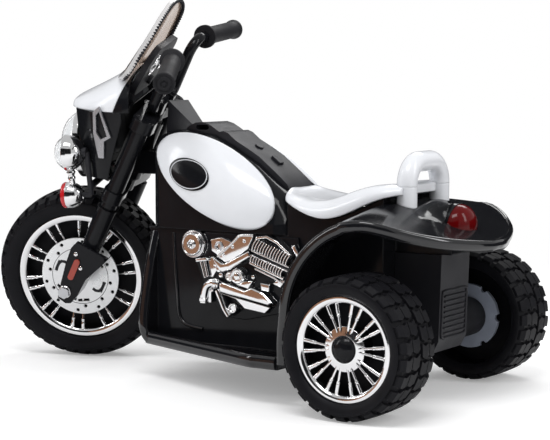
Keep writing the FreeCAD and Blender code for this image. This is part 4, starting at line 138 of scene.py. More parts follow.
def floorPaint():
    # pale paint that keeps the shadow and fades into the white background
    paint, t, flat = newPaint("floorPaint", studio["floor"])
    lift = mathNode(t, "MULTIPLY", seenRay(t, "Is Camera Ray"), studio["lift"])
    glow = addNode(t, "ShaderNodeEmission", {"Strength": lift})
    near = addNode(t, "ShaderNodeAddShader", {0: flat, 1: glow})
    far = addNode(t, "ShaderNodeEmission", {})
    away = addNode(t, "ShaderNodeVectorMath", {0: spotNode(t)}, operation="LENGTH")
    start, end = studio["fade"]
    fade = addNode(t, "ShaderNodeMapRange", {"Value": away.outputs["Value"], "From Min": start, "From Max": end},
                   interpolation_type="SMOOTHSTEP")
    seen = seenRay(t, "Is Camera Ray", "Is Glossy Ray", "Is Transmission Ray")
    both = mathNode(t, "MULTIPLY", fade, seen)
    pick = addNode(t, "ShaderNodeMixShader", {0: both, 1: near, 2: far})
    fill(t, t.nodes["Material Output"], {0: pick})
    return paint


def darkWall(name, radius, fromTurn, toTurn, low, high, color):
    steps = studio["wallSteps"]
    angles = [math.radians(fromTurn + (toTurn - fromTurn) * i / steps) for i in range(steps + 1)]
    mesh = bpy.data.meshes.new(name)
    mesh.from_pydata([(math.cos(a) * radius, math.sin(a) * radius, z) for a in angles for z in (low, high)], [],
                     [(2 * i, 2 * i + 2, 2 * i + 3, 2 * i + 1) for i in range(steps)])
    mesh.materials.append(newPaint(name, {"Base Color": color, **studio["wallPaint"]})[0])
    wall = addObject(name, mesh)
    wall.visible_camera = wall.visible_shadow = wall.visible_diffuse = wall.visible_transmission = False
    return wall


def buildStudio():
    scene.world = bpy.data.worlds.new("studioWorld")
    scene.world.use_nodes = True
    t = scene.world.node_tree
    sky = t.nodes["Background"]
    fill(t, sky, {"Color": studio["white"], "Strength": studio["sky"]})
    clean = addNode(t, "ShaderNodeBackground", {"Color": studio["white"]})
    shown = seenRay(t, "Is Camera Ray", "Is Transmission Ray")
    pick = addNode(t, "ShaderNodeMixShader", {0: shown, 1: sky, 2: clean})
    fill(t, t.nodes["World Output"], {0: pick})
    r = studio["reach"]
    mesh = bpy.data.meshes.new("studioFloor")
    mesh.from_pydata([(-r, -r, 0), (r, -r, 0), (r, r, 0), (-r, r, 0)], [], [(0, 1, 2, 3)])
    mesh.materials.append(floorPaint())
    addObject("studioFloor", mesh)
    for i, wall in enumerate(studio["walls"]):
        darkWall("studioWall%d" % i, *wall)
    for i, (place, size, watts) in enumerate(studio["lamps"]):
        light = bpy.data.lights.new("softLamp%d" % i, "AREA")
        light.shape = "RECTANGLE"
        light.size, light.size_y = size
        light.energy = watts
        addObject("softLamp%d" % i, light, place, Vector(studio["aim"]) - Vector(place))


buildStudio()
print("studio ready")

# finishes: colour, roughness, grain scale and strength, mottle, metal, specular, coat, rounding of edges in metres
finishes = {
    "blackGloss": ((0.0075, 0.0078, 0.0095), (0.08, 0.17), (900, 0.03), 0.25, 0, 0.15, 0.05, 0.0022),
    "blackLacquer": ((0.0075, 0.0078, 0.0095), (0.07, 0.13), (900, 0.02), 0.2, 0, 0.5, 0.3),
    "blackSatin": ((0.018, 0.018, 0.022), (0.34, 0.5), (2600, 0.12), 0.2, 0, 0.25),
    "blackMould": ((0.013, 0.013, 0.015), (0.42, 0.6), (1500, 0.2), 0.3, 0, 0.2),
    "tyreBlack": ((0.0085, 0.0085, 0.0105), (0.36, 0.52), (1300, 0.25), 0.35, 0, 0.1),
    "gripRubber": ((0.013, 0.013, 0.0155), (0.5, 0.7), (2200, 0.3), 0.25, 0, 0.2),
    "whiteGloss": ((0.80, 0.815, 0.85), (0.12, 0.22), (700, 0.03), 0.03, 0, 0.4, 0.1, 0.003),
    "chromePlate": ((0.86, 0.86, 0.87), (0.04, 0.12), (260, 0.05), 0.05, 1, 0.5),
    "discPlate": ((0.84, 0.85, 0.86), (0.22, 0.36), (1800, 0.1), 0.04, 0.75, 0.5),
    "zincSteel": ((0.52, 0.53, 0.55), (0.24, 0.42), (1500, 0.12), 0.15, 1, 0.5),
    "greySatin": ((0.30, 0.33, 0.40), (0.3, 0.46), (2000, 0.1), 0.12, 0, 0.45),
    "silverSatin": ((0.36, 0.36, 0.38), (0.2, 0.32), (1600, 0.08), 0.08, 0.75, 0.5, 0, 0.0012),
    # pale paint for a painted highlight on the windshield trim's outer faces
    "screenEdge": ((0.62, 0.61, 0.61), (0.1, 0.2), (900, 0.03), 0.04, 0, 0.5),
    "markerRed": ((0.52, 0.006, 0.012), (0.1, 0.2), (500, 0.1), 0.2, 0, 0.5, 0.3),
    "redLens": ((0.105, 0.0008, 0.0015), (0.10, 0.2), (420, 0.12), 0.3, 0, 0.18, 0.05),
    "reflectorRed": ((0.33, 0.035, 0.018), (0.16, 0.3), (900, 0.3), 0.2, 0, 0.5, 0.4),
}
clearFinishes = {  # colour, roughness, clearness, index of refraction
    "clearLens": ((0.95, 0.96, 0.97, 1), 0.02, 0.95, 1.3),
    "tintedScreen": ((0.52, 0.41, 0.34, 1), 0.02, 0.85, 1.5),
}
surface = {  # noises as scale and detail
    "mottle": (38, 4), "smudge": (16, 6), "smudgeSpan": (0.3, 0.7), "grainDetail": 2, "grainDepth": 0.0004,
    "edgeSamples": 6, "coatRough": 0.06, "haze": (30, 2), "hazeSpan": 0.08,
}
made = {}


def noise(tree, at, scale, detail):
    return addNode(tree, "ShaderNodeTexNoise", {"Vector": at, "Scale": scale, "Detail": detail}).outputs["Fac"]


def makeFinish(name, color, rough, grain, mottle, metal, spec, coat=0, edge=0.001):
    made[name], t, flat = newPaint(name, {
        "Metallic": metal, "Specular IOR Level": spec,
        "Coat Weight": coat, "Coat Roughness": surface["coatRough"]})
    at = spotNode(t)
    low = (*(c * (1 - mottle) for c in color), 1)
    high = (*(min(c * (1 + mottle), 1) for c in color), 1)
    tint = addNode(t, "ShaderNodeMix", {"A": low, "B": high, "Factor": noise(t, at, *surface["mottle"])},
                   data_type="RGBA")
    least, most = surface["smudgeSpan"]
    gloss = addNode(t, "ShaderNodeMapRange", {
        "Value": noise(t, at, *surface["smudge"]), "From Min": least, "From Max": most,
        "To Min": rough[0], "To Max": rough[1]})
    rounded = addNode(t, "ShaderNodeBevel", {"Radius": edge}, samples=surface["edgeSamples"])
    bump = addNode(t, "ShaderNodeBump", {
        "Normal": rounded, "Strength": grain[1], "Distance": surface["grainDepth"],
        "Height": noise(t, at, grain[0], surface["grainDetail"])})
    fill(t, flat, {"Base Color": tint.outputs["Result"], "Roughness": gloss, "Normal": bump})


def makeClear(name, color, rough, clear, bend):
    made[name], t, flat = newPaint(name, {"Base Color": color, "Transmission Weight": clear, "IOR": bend})
    at = spotNode(t)
    haze = addNode(t, "ShaderNodeMapRange", {
        "Value": noise(t, at, *surface["haze"]), "To Min": rough, "To Max": rough + surface["hazeSpan"]})
    fill(t, flat, {"Roughness": haze})


for name, values in finishes.items():
    makeFinish(name, *values)
for name, values in clearFinishes.items():
    makeClear(name, *values)
print("finishes ready:", len(made))

weld = {"cad": 0.00002, "lathe": 0.00001}


def placePiece(name, parts, node, at=None, angle=40, stands=True):
    # smooth piece with the node's body, which stands in for the node or is added to it
    mesh = joinMeshes(parts) if isinstance(parts, list) else parts
    mesh.name = name
    if at is not None:
        mesh.transform(at)
    mesh.polygons.foreach_set("use_smooth", [True] * len(mesh.polygons))
    mesh.set_sharp_from_angle(angle=math.radians(angle))
    piece = addObject(name, mesh)
    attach(piece, bodyOf[node])
    if stands:
        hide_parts(node)


def mergedCopy(node, *paints):
    # welded copy of a CAD mesh without its normals
    mesh = nodes[node].data.copy()
    bm = bmesh.new()
    bm.from_mesh(mesh)
    bmesh.ops.remove_doubles(bm, verts=bm.verts, dist=weld["cad"])
    bm.to_mesh(mesh)
    bm.free()
    for layer in list(mesh.attributes):
        if layer.name == "custom_normal":
            mesh.attributes.remove(layer)
    mesh.materials.clear()
    for paint in paints:
        mesh.materials.append(made[paint])
    return mesh


def frameFrom(place, yAxis, zAxis):
    y, z = Vector(yAxis).normalized(), Vector(zAxis).normalized()
    x = y.cross(z).normalized()
    z = x.cross(y)
    turn = Matrix((x, y, z)).transposed().to_4x4()
    return Matrix.Translation(place) @ turn


# frames of the fork and the wheels, from the record's joints
halfTurn = Matrix.Rotation(math.pi, 4, "Z")
mirror = Matrix.Scale(-1, 4, (0, 1, 0))
frontRoll = joints["front_wheel_roll"]
forkFrame = frameFrom(frontRoll["pos_m"], frontRoll["axis"], joints["steering_turn"]["axis"])
leftHub = Matrix.Translation(joints["rear_left_roll"]["pos_m"])
rightHub = Matrix.Translation(joints["rear_right_roll"]["pos_m"]) @ halfTurn


def newTree(name, **inputs):
    tree = bpy.data.node_groups.new(name, "GeometryNodeTree")
    tree.interface.new_socket("Geometry", in_out="INPUT", socket_type="NodeSocketGeometry")
    ids = {label: tree.interface.new_socket(label, in_out="INPUT", socket_type="NodeSocket" + kind).identifier
           for label, kind in inputs.items()}
    tree.interface.new_socket("Geometry", in_out="OUTPUT", socket_type="NodeSocketGeometry")
    return tree, tree.nodes.new("NodeGroupInput").outputs, ids


def closeTree(tree, given, layout):
    # a copy of the given mesh at each point
    copies = addNode(tree, "GeometryNodeInstanceOnPoints", {"Instance": given["Geometry"], **layout})
    real = addNode(tree, "GeometryNodeRealizeInstances", {0: copies})
    paint = addNode(tree, "GeometryNodeSetMaterial", {"Geometry": real, "Material": given["Finish"]})
    addNode(tree, "NodeGroupOutput", {0: paint})


def ringTree():
    tree, given, ids = newTree("ringRepeat", Count="Int", Finish="Material")
    points = addNode(tree, "GeometryNodePoints", {"Count": given["Count"]})
    index = addNode(tree, "GeometryNodeInputIndex", {})
    step = mathNode(tree, "DIVIDE", math.tau, given["Count"])
    angle = mathNode(tree, "MULTIPLY", index, step)
    euler = addNode(tree, "ShaderNodeCombineXYZ", {"Y": angle})
    turn = addNode(tree, "FunctionNodeEulerToRotation", {0: euler})
    closeTree(tree, given, {"Points": points, "Rotation": turn})
    return tree, ids


def rowTree():
    tree, given, ids = newTree("rowRepeat", Count="Int", Step="Vector", Finish="Material")
    line = addNode(tree, "GeometryNodeMeshLine", {"Count": given["Count"], "Offset": given["Step"]}, mode="OFFSET")
    closeTree(tree, given, {"Points": line})
    return tree, ids


trees = {"ring": ringTree(), "row": rowTree()}


def repeat(kind, mesh, **inputs):
    # copies of the mesh on a ring or in a row, in its own finish
    tree, ids = trees[kind]
    inputs["Finish"] = paint = mesh.materials[0]
    holder = addObject("repeatHolder", mesh)
    mod = holder.modifiers.new("repeat", "NODES")
    mod.node_group = tree
    for label, value in inputs.items():
        mod[ids[label]] = value
    result = bpy.data.meshes.new_from_object(holder.evaluated_get(bpy.context.evaluated_depsgraph_get()))
    bpy.data.objects.remove(holder)
    result.materials.clear()
    result.materials.append(paint)
    result.polygons.foreach_set("material_index", [0] * len(result.polygons))
    return result


def joinMeshes(meshes):
    # materials are kept: each mesh brings its own slots
    result = bpy.data.meshes.new("joined")
    bm = bmesh.new()
    slots = []
    for mesh in meshes:
        shift = []
        for m in mesh.materials:
            if m not in slots:
                slots.append(m)
            shift.append(slots.index(m))
        start = len(bm.faces)
        bm.from_mesh(mesh)
        bm.faces.ensure_lookup_table()
        for f in bm.faces[start:]:
            f.material_index = shift[f.material_index] if shift else 0
    bm.to_mesh(result)
    bm.free()
    for m in slots:
        result.materials.append(m)
    return result


def paired(mesh, change):
    # the mesh and its copy on the other side
    other = mesh.copy()
    other.transform(change)
    if change.determinant() < 0:
        other.flip_normals()
    return joinMeshes([mesh, other])


def meshFrom(bm, finish):
    bmesh.ops.recalc_face_normals(bm, faces=bm.faces)
    mesh = bpy.data.meshes.new(finish)
    bm.to_mesh(mesh)
    bm.free()
    mesh.materials.append(made[finish])
    return mesh


def turns(count):
    return [math.tau * i / count for i in range(count)]


def skinRings(bm, rings):
    # faces from ring to ring, and over both ends
    for one, two in zip(rings, rings[1:]):
        for i in range(len(one)):
            j = (i + 1) % len(one)
            bm.faces.new((one[i], one[j], two[j], two[i]))
    bm.faces.new(rings[0])
    bm.faces.new(rings[-1])


def skinSheets(bm, tops, lows):
    # faces over two grids of points, and round their edges
    rows, cols = len(tops) - 1, len(tops[0]) - 1
    for i in range(rows):
        for j in range(cols):
            bm.faces.new((tops[i][j], tops[i][j + 1], tops[i + 1][j + 1], tops[i + 1][j]))
            bm.faces.new((lows[i][j], lows[i + 1][j], lows[i + 1][j + 1], lows[i][j + 1]))
        for j in (0, cols):
            bm.faces.new((tops[i][j], lows[i][j], lows[i + 1][j], tops[i + 1][j]))
    for i in (0, rows):
        for j in range(cols):
            bm.faces.new((tops[i][j], lows[i][j], lows[i][j + 1], tops[i][j + 1]))


def lathe(profile, finish, steps=48):
    # profile of (radius, along) turned round the local Y axis, in millimetres
    bm = bmesh.new()
    rings = [[bm.verts.new((r * math.cos(a) / mm, y / mm, r * math.sin(a) / mm)) for r, y in profile]
             for a in turns(steps)]
    for one, two in zip(rings, rings[1:] + rings[:1]):
        for i in range(len(profile)):
            j = (i + 1) % len(profile)
            bm.faces.new((one[i], two[i], two[j], one[j]))
    bmesh.ops.remove_doubles(bm, verts=bm.verts, dist=weld["lathe"])
    return meshFrom(bm, finish)


# tyres: the moulded carcass with tread blocks left standing
rearTread = {
    "crown": [(0, 91.0), (17, 90.8), (35, 90.2), (42, 85.5), (44, 77)], "depth": 4.2, "count": 26,
    "middle": [],
    "side": [  # places along the width, then left and right edge in shares of the pitch
        ((3, 11, 20), (0.06, 0.24, 0.12), (0.80, 0.98, 0.84)),
        ((21.5, 28, 35, 41.8), (0.12, 0.30, 0.22, 0.22), (0.82, 0.98, 0.90, 0.86)),
    ],
    "shift": 0.46,  # of the other side, in shares of the pitch
}
frontTread = {
    "crown": [(0, 130.0), (10, 129.7), (21, 128.6), (31.5, 124), (35.5, 112)], "depth": 4.6, "count": 40,
    "middle": [((-5.5, 0, 5.5), (0.1, 0.28, 0.1), (0.72, 0.9, 0.72))],
    "side": [
        ((7, 13, 19.5), (0.5, 0.64, 0.52), (1.12, 1.28, 1.16)),
        ((21.2, 26, 31.5, 33.4), (0.02, 0.1, 0.1, 0.14), (0.7, 0.72, 0.68, 0.62)),
    ],
    "shift": 0,
}
treadCut = {"inset": 0.02, "root": 0.6, "flare": 0.03, "edge": 1}  # flare in shares of the pitch


def crownAt(table, y):
    y = abs(y)
    for (ya, ra), (yb, rb) in zip(table, table[1:]):
        if y <= yb:
            return ra + (rb - ra) * (y - ya) / (yb - ya)
    return table[-1][1]


def treadBlock(bm, s, ys, left, right):
    pitch = math.tau / s["count"]
    tops, lows = [], []
    for y, start, end in zip(ys, left, right):
        r = crownAt(s["crown"], y)
        for row, rim, wide in ((tops, r - treadCut["inset"], 0),
                               (lows, r - s["depth"] - treadCut["root"], treadCut["flare"])):
            a, b = (start - wide) * pitch, (end + wide) * pitch
            row.append([bm.verts.new((rim * math.cos(t) / mm, y / mm, rim * math.sin(t) / mm))
                        for t in (a, (a + b) / 2, b)])
    skinSheets(bm, tops, lows)


def buildTyre(node, hub, s):
    carcass = mergedCopy(node, "tyreBlack")
    carcass.transform(hub.inverted())
    for v in carcass.vertices:
        rho = math.hypot(v.co.x, v.co.z)
        y = v.co.y * mm
        limit = (crownAt(s["crown"], y) - s["depth"]) / mm
        if abs(y) < s["crown"][-1][0] - treadCut["edge"] and rho > limit:
            v.co.x *= limit / rho
            v.co.z *= limit / rho
    bm = bmesh.new()
    for block in s["middle"] + s["side"]:
        treadBlock(bm, s, *block)
    for ys, *edges in s["side"]:
        treadBlock(bm, s, [-y for y in ys], *([share + s["shift"] for share in edge] for edge in edges))
    tread = repeat("ring", meshFrom(bm, "tyreBlack"), Count=s["count"])
    placePiece(node + "Tread", [carcass, tread], node, hub, angle=28)


buildTyre("front_tyre", forkFrame, frontTread)
buildTyre("rear_tyre_left", leftHub, rearTread)
buildTyre("rear_tyre_right", rightHub, rearTread)
print("tyres carved")

# spoked covers: rolled rim, nave and round spokes with thick ends
rearSpokes = {
    "rim": [(57.5, 28), (67.9, 28), (67.9, 36.5), (65.4, 38.0), (61.4, 37.6), (58.6, 35.4), (57.5, 32)],
    "nave": [(14.6, 28.2), (27.5, 28.2), (29.4, 29.3), (28.4, 31.6), (20, 33.9), (14.6, 33.9)],
    "inner": (17, 1.5), "outer": (60, 7.4), "thin": 1.8, "thick": 2.8, "from": 0.55, "height": 31.4,
}
frontSpokes = {
    "rim": [(85, 20), (97.4, 20), (97.4, 26.2), (95.2, 28.6), (90.8, 28.7), (86.8, 26.8), (85, 23.4)],
    "nave": [(5.3, 20.1), (20, 20.1), (20, 25.9), (5.3, 25.9)],
    "inner": (16, 4.2), "outer": (88, 8.8), "thin": 1.9, "thick": 3.1, "from": 0.72, "height": 23.4,
}
spokeForm = {  # steps: share of the length past the thin part, share of the thick end
    "pairs": 10, "sides": 10, "steps": [(0.02, 1), (0.06, 1), (0.07, 0.84), (0.09, 0.84), (0.10, 1)],
}


def spokeRod(bm, s, side):
    start = Vector((s["inner"][0], s["height"], s["inner"][1] * side))
    end = Vector((s["outer"][0], s["height"], s["outer"][1] * side))
    along = (end - start).normalized()
    across = along.cross(Vector((0, 1, 0))).normalized()
    up = across.cross(along)
    stations = [(0, s["thin"]), (s["from"], s["thin"])]
    stations += [(s["from"] + past, s["thick"] * share) for past, share in spokeForm["steps"]] + [(1, s["thick"])]
    rings = []
    for share, r in stations:
        mid = start.lerp(end, share)
        rings.append([bm.verts.new((mid + (across * math.cos(t) + up * math.sin(t)) * r) / mm)
                      for t in turns(spokeForm["sides"])])
    skinRings(bm, rings)


def coverMesh(s):
    bm = bmesh.new()
    for side in (1, -1):
        spokeRod(bm, s, side)
    spokes = repeat("ring", meshFrom(bm, "chromePlate"), Count=spokeForm["pairs"])
    rim, nave = lathe(s["rim"], "chromePlate", steps=96), lathe(s["nave"], "chromePlate", steps=64)
    return joinMeshes([rim, nave, spokes])


for node, hub in (("rear_cover_left", leftHub), ("rear_cover_right", rightHub)):
    placePiece(node + "Spokes", coverMesh(rearSpokes), node, hub)
placePiece("frontCoverSpokes", paired(coverMesh(frontSpokes), halfTurn), "front_covers", forkFrame)
print("wheel covers built")

# engine dress: dark backing plate with chrome castings on it, in millimetres on the body's side
engineDress = {
    "plate": [(-158, 165.2), (-125.7, 106.2), (-64.9, 92), (-26.9, 94.4), (-0.3, 127.4), (22.5, 177),
              (26.3, 204.1), (-0.3, 210), (-59.2, 210), (-150.4, 210)],
    "plateSpan": (72.1, 76), "foot": 75.5, "backTop": 80,
    "rounding": {"plate": 1.0, "band": 0.7, "bar": 0.8, "fin": 0.6},
    "slabs": [  # outline, height, rounding
        ([(-10, 200.9), (-27.8, 204.6), (-45.4, 198.9), (-22.8, 179.1), (-11.5, 185)], 81, 1.2),
        ([(-23.6, 177.8), (-50.2, 200.5), (-61.3, 209.2), (-83.4, 210.8), (-73.9, 191.4), (-46.9, 174),
          (-37.3, 170.7)], 84, 1.4),
        ([(-14.7, 178.6), (-28.4, 159.5), (-34, 157.2), (-46.9, 162.1), (-80.2, 181.3), (-77.1, 189),
          (-40.5, 170.9), (-33, 169)], 88, 2.6),
        ([(-29.2, 141), (-35.6, 144.1), (-72.2, 134.8), (-83.3, 139.5), (-103.6, 133.2), (-117.6, 121.2),
          (-111.4, 116.8), (-30.7, 130.4)], 91, 3.6),
        ([(-30.7, 127.8), (-56.3, 121.7), (-70.6, 109.6), (-103.6, 105.7), (-112.4, 114.2)], 87, 4.2),
        ([(-62, 146), (-82, 148), (-74, 136.4), (-54, 141)], 84, 1.4),
        ([(-95.8, 146.7), (-111.4, 145.2), (-110.8, 134.9), (-97.4, 136.6)], 87, 2.4),
        ([(-4, 172), (-13, 178), (-24, 166), (-12, 148), (-7, 149)], 79.5, 0.8),
        ([(-113, 146), (-126, 142), (-133, 152), (-119, 151)], 82, 1.2),
    ],
    "bands": [  # path, width, low, high
        ([(-91, 207.6), (-108, 210.2), (-125, 203.6), (-146, 187)], 3.4, 77, 90),
        ([(-147.5, 200), (-155.5, 186)], 5, 75.5, 85),
        ([(-82, 190.4), (-143, 171)], 2.2, 77, 88),
        ([(-81, 184), (-141, 165.4)], 2.2, 77, 88),
        ([(-79, 173.6), (-134, 154.6)], 3.2, 75.5, 88),
        ([(-84, 165.4), (-116, 154.4), (-130, 147)], 2.6, 75.5, 83),
        ([(13, 170.6), (-5, 173.4)], 4.6, 75.5, 85),
    ],
    "bar": ([(-84, 187.4), (-142, 168.4)], 5.2, 75.5, 84.5),
    "backs": [  # dark ground behind the fins
        [(-82, 192), (-91, 208.5), (-108, 211), (-125, 204.4), (-147, 188), (-141, 171.5)],
        [(-80, 184), (-142, 165.2), (-135, 154), (-79, 174)],
    ],
    "fins": [  # first foot, lean, step, count, low, high
        ((-85.5, 191.6), (-7.6, 14.8), (-4.15, -1.36), 14, 78, 91.5),
        ((-82.5, 174.6), (-3.0, 9.4), (-4.05, -1.38), 13, 78, 90),
    ],
    "fin": {"shares": (0, 0.2, 0.4, 0.6, 0.8, 1), "bulge": 1.7, "width": 1.9},
    "turned": [  # place, steps, profile above the foot
        ((18.2, 193.2), 72, [(19.8, 82), (18.8, 84.4), (17.6, 84.2), (17.2, 82.6), (16.6, 86), (16.2, 88.2),
                             (15.2, 89.2), (14.4, 89.2), (13.8, 88.2), (6.4, 88.2), (5.9, 91), (4.6, 92),
                             (3.4, 91.6), (3, 87), (0, 87)]),
        ((-58, 153.6), 40, [(11, 86), (10, 88), (8.6, 88.4), (7.8, 86.4), (5.6, 86.2), (4.8, 88), (3.4, 88.8),
                            (0, 88.9)]),
        ((-43.6, 151.6), 40, [(7.4, 83), (6.2, 84.8), (4.6, 84.8), (4.2, 83.2), (0, 83.2)]),
        ((-49.1, 107.9), 40, [(7.6, 84), (6.2, 86), (4.6, 86), (4.1, 84), (0, 84)]),
        ((-24, 160), 40, [(4.2, 82), (3.2, 83.2), (0, 83.4)]),
        ((-19, 167), 40, [(3.4, 83), (2.4, 84.2), (0, 84.4)]),
        ((-27, 152), 40, [(3.6, 81), (2.6, 82.2), (0, 82.4)]),
        ((-80, 153), 40, [(3, 80), (2.2, 81), (0, 81.2)]),
    ],
    "rivet": [(0, 83.6), (2.3, 83.6), (2.1, 85), (1.2, 86), (0, 86.2)],
    "rivets": [(-33.3, 181), (-48.6, 193.2), (-68.1, 202.2)],
    "hex": [(4.1, 80.6), (6.9, 80.6), (6.9, 83.4), (6.1, 84.4), (4.9, 84.4), (4.1, 83.4)],
    "hexAt": (-24, 192.2),
    "tubes": [  # path, radius, depth of its middle
        ([(0.2, 112), (-0.6, 124), (-5, 135.5), (-15, 140.6), (-27, 139)], 6.4, 83),
        ([(-24, 131.5), (-30, 119), (-36, 106.5), (-43.5, 96.5)], 4.6, 84),
        ([(5.5, 169), (-1.8, 147)], 2.1, 82),
        ([(-0.6, 170), (-6.4, 148.6)], 2.1, 82),
        ([(-9, 113), (-9.5, 127), (-15, 131)], 3.0, 80.5),
        ([(-23.6, 177.8), (-50.2, 200.5), (-61.3, 209.2), (-83.4, 210.8)], 1.5, 84),
    ],
    "collars": [  # ends, radius, depth of its middle
        ([(0.2, 114.5), (-0.1, 119)], 7.6, 83),
        ([(-19, 140.3), (-24, 139.6)], 7.6, 83),
    ],
}
slabRim = {"segments": 3, "profile": 0.6, "level": 1e-7}


def slab(points, low, high, finish, rounding=0):
    # outline of (x, z) between two levels, with its outer rim rounded
    bm = bmesh.new()
    base = bm.faces.new([bm.verts.new((x / mm, low / mm, z / mm)) for x, z in points])
    for e in bmesh.ops.extrude_face_region(bm, geom=[base], use_keep_orig=True)["geom"]:
        if isinstance(e, bmesh.types.BMVert):
            e.co.y = high / mm
    bmesh.ops.recalc_face_normals(bm, faces=bm.faces)
    if rounding:
        rim = [e for e in bm.edges if all(abs(v.co.y - high / mm) < slabRim["level"] for v in e.verts)]
        bmesh.ops.bevel(bm, geom=rim, offset=rounding / mm, segments=slabRim["segments"],
                        profile=slabRim["profile"], affect="EDGES", clamp_overlap=True)
    return meshFrom(bm, finish)


def alongAt(line, i):
    return (line[min(i + 1, len(line) - 1)] - line[max(i - 1, 0)]).normalized()


def bandOutline(path, width):
    spots = [Vector(p) for p in path]
    left, right = [], []
    for i, p in enumerate(spots):
        along = alongAt(spots, i)
        side = Vector((-along.y, along.x)) * (width / 2)
        left.append(tuple(p + side))
        right.append(tuple(p - side))
    return left + right[::-1]


def curvePoints(points, steps):
    # smooth line through the points
    spots = [Vector(p) for p in points]
    line = []
    last = len(spots) - 1
    for i in range(last):
        a, b = spots[max(i - 1, 0)], spots[i]
        c, d = spots[i + 1], spots[min(i + 2, last)]
        for j in range(steps):
            t = j / steps
            square, cube = 2 * a - 5 * b + 4 * c - d, 3 * b - a - 3 * c + d
            line.append(0.5 * (2 * b + (c - a) * t + square * t * t + cube * t ** 3))
    line.append(spots[-1])
    return line


def tube(points, radius, finish, steps=6, sides=16, up=None, tall=None, beads=0):
    # round, oval or beaded rod along a smooth line, in millimetres, with closed ends
    line = curvePoints(points, steps)
    high = radius if tall is None else tall
    bm = bmesh.new()
    rings = []
    normal = None
    for i, p in enumerate(line):
        along = alongAt(line, i)
        if up is not None:
            normal = Vector(up)
        elif normal is None:
            normal = along.orthogonal()
        normal = (normal - along * normal.dot(along)).normalized()
        side = along.cross(normal)
        size = (1 + math.sin(math.pi * i / beads) ** 2) / 2 if beads else 1
        rings.append([bm.verts.new((p + (normal * math.cos(a) * high + side * math.sin(a) * radius) * size) / mm)
                      for a in turns(sides)])
    skinRings(bm, rings)
    return meshFrom(bm, finish)


def turnedAt(place, profile, finish, steps):
    mesh = lathe(profile, finish, steps)
    mesh.transform(Matrix.Translation((place[0] / mm, 0, place[1] / mm)))
    return mesh


def engineSide(d):
    foot, rounding, form = d["foot"], d["rounding"], d["fin"]
    parts = [slab(d["plate"], *d["plateSpan"], "blackGloss", rounding["plate"])]
    parts += [slab(o, foot, high, "chromePlate", r) for o, high, r in d["slabs"]]
    parts += [slab(bandOutline(path, w), low, high, "chromePlate", rounding["band"])
              for path, w, low, high in d["bands"]]
    parts += [slab(o, foot, d["backTop"], "blackGloss") for o in d["backs"]]
    path, w, low, high = d["bar"]
    parts.append(slab(bandOutline(path, w), low, high, "blackSatin", rounding["bar"]))
    for (x, z), (dx, dz), step, count, low, high in d["fins"]:
        path = [(x + dx * t + form["bulge"] * math.sin(math.pi * t), z + dz * t) for t in form["shares"]]
        fin = slab(bandOutline(path, form["width"]), low, high, "chromePlate", rounding["fin"])
        parts.append(repeat("row", fin, Count=count, Step=(step[0] / mm, 0, step[1] / mm)))
    for place, steps, profile in d["turned"]:
        parts.append(turnedAt(place, [(0, foot), (profile[0][0], foot)] + profile, "chromePlate", steps))
    parts += [turnedAt(place, d["rivet"], "chromePlate", steps=40) for place in d["rivets"]]
    parts.append(turnedAt(d["hexAt"], d["hex"], "chromePlate", steps=6))
    for rods, steps, sides in ((d["tubes"], 8, 18), (d["collars"], 1, 24)):
        for path, r, depth in rods:
            parts.append(tube([(x, depth, z) for x, z in path], r, "chromePlate", steps, sides))
    return joinMeshes(parts)


placePiece("engineDress", paired(engineSide(engineDress), mirror), "engine_covers", angle=34)
print("engine dressed")

# rear deck: rolled lip round the tail and over the wheels, and a swell round the tail lamp
deckShape = {
    "arch": (-316.72, 119, 130), "sweep": (4, 66, 11), "front": (-188.72, 57, 90), "half": 177,
    "edge": [(-278.7, 177, 244), (-307.3, 174.3, 247), (-333.3, 159.3, 240), (-356.7, 134.5, 231),
             (-380.1, 97.4, 223), (-398.3, 53.1, 217.5), (-407.2, 17.7, 215), (-407.9, 0, 215)],
    "tail": 5, "inset": 1.5, "lip": (4.6, 7.4), "drop": 5.5, "sides": 16,
    "outward": {"from": -310, "back": -0.35, "across": 120, "middle": 1e-6},
}
lampSwell = {
    "rear": -348.0, "front": -300, "half": 84, "waist": 27, "rows": 24, "cols": 56, "power": 3.4, "steep": 5,
    "steepRows": 8, "under": 0.4, "least": 0.7, "sink": 1.2, "deep": 2.4,
}
rayFrom = 0.6  # metres, above all of the object


def deckLip(d):
    x0, z0, r = d["arch"]
    y, reach = d["half"] - d["inset"], r - d["drop"]
    x, low, high = d["front"]
    left = [(x, y, low), (x, y, high)]
    start, swing, steps = d["sweep"]
    for i in range(steps + 1):
        a = math.radians(start + swing * i / steps)
        left.append((x0 + reach * math.cos(a), y, z0 + reach * math.sin(a)))
    left += [(x + (d["inset"] if i >= d["tail"] else 0), max(w - d["inset"], 0), z - d["drop"])
             for i, (x, w, z) in enumerate(d["edge"])]
    right = [(x, -w, z) for x, w, z in left[::-1]][1:]
    wide, tall = d["lip"]
    line = curvePoints(left + right, steps=3)
    o = d["outward"]
    bm = bmesh.new()
    rings = []
    for i, p in enumerate(line):
        along = alongAt(line, i)
        if abs(p.y) < o["middle"]:
            out = Vector((-1, 0, 0))
        elif p.x > o["from"]:
            out = Vector((0, 1 if p.y > 0 else -1, 0))
        else:
            out = Vector((o["back"], p.y / o["across"], 0)).normalized()
        out = (out - along * out.dot(along)).normalized()
        up = along.cross(out).normalized()
        rings.append([bm.verts.new((p + out * math.cos(a) * wide + up * math.sin(a) * tall) / mm)
                      for a in turns(d["sides"])])
    for one, two in zip(rings, rings[1:]):
        # the ring is turned so that it doesn't twist
        shifts = [two[s:] + two[:s] for s in range(d["sides"])]
        two[:] = min(shifts, key=lambda ring: sum((a.co - b.co).length for a, b in zip(one, ring)))
    skinRings(bm, rings)
    return meshFrom(bm, "blackLacquer")


def treeOf(mesh):
    bm = bmesh.new()
    bm.from_mesh(mesh)
    tree = BVHTree.FromBMesh(bm)
    bm.free()
    return tree


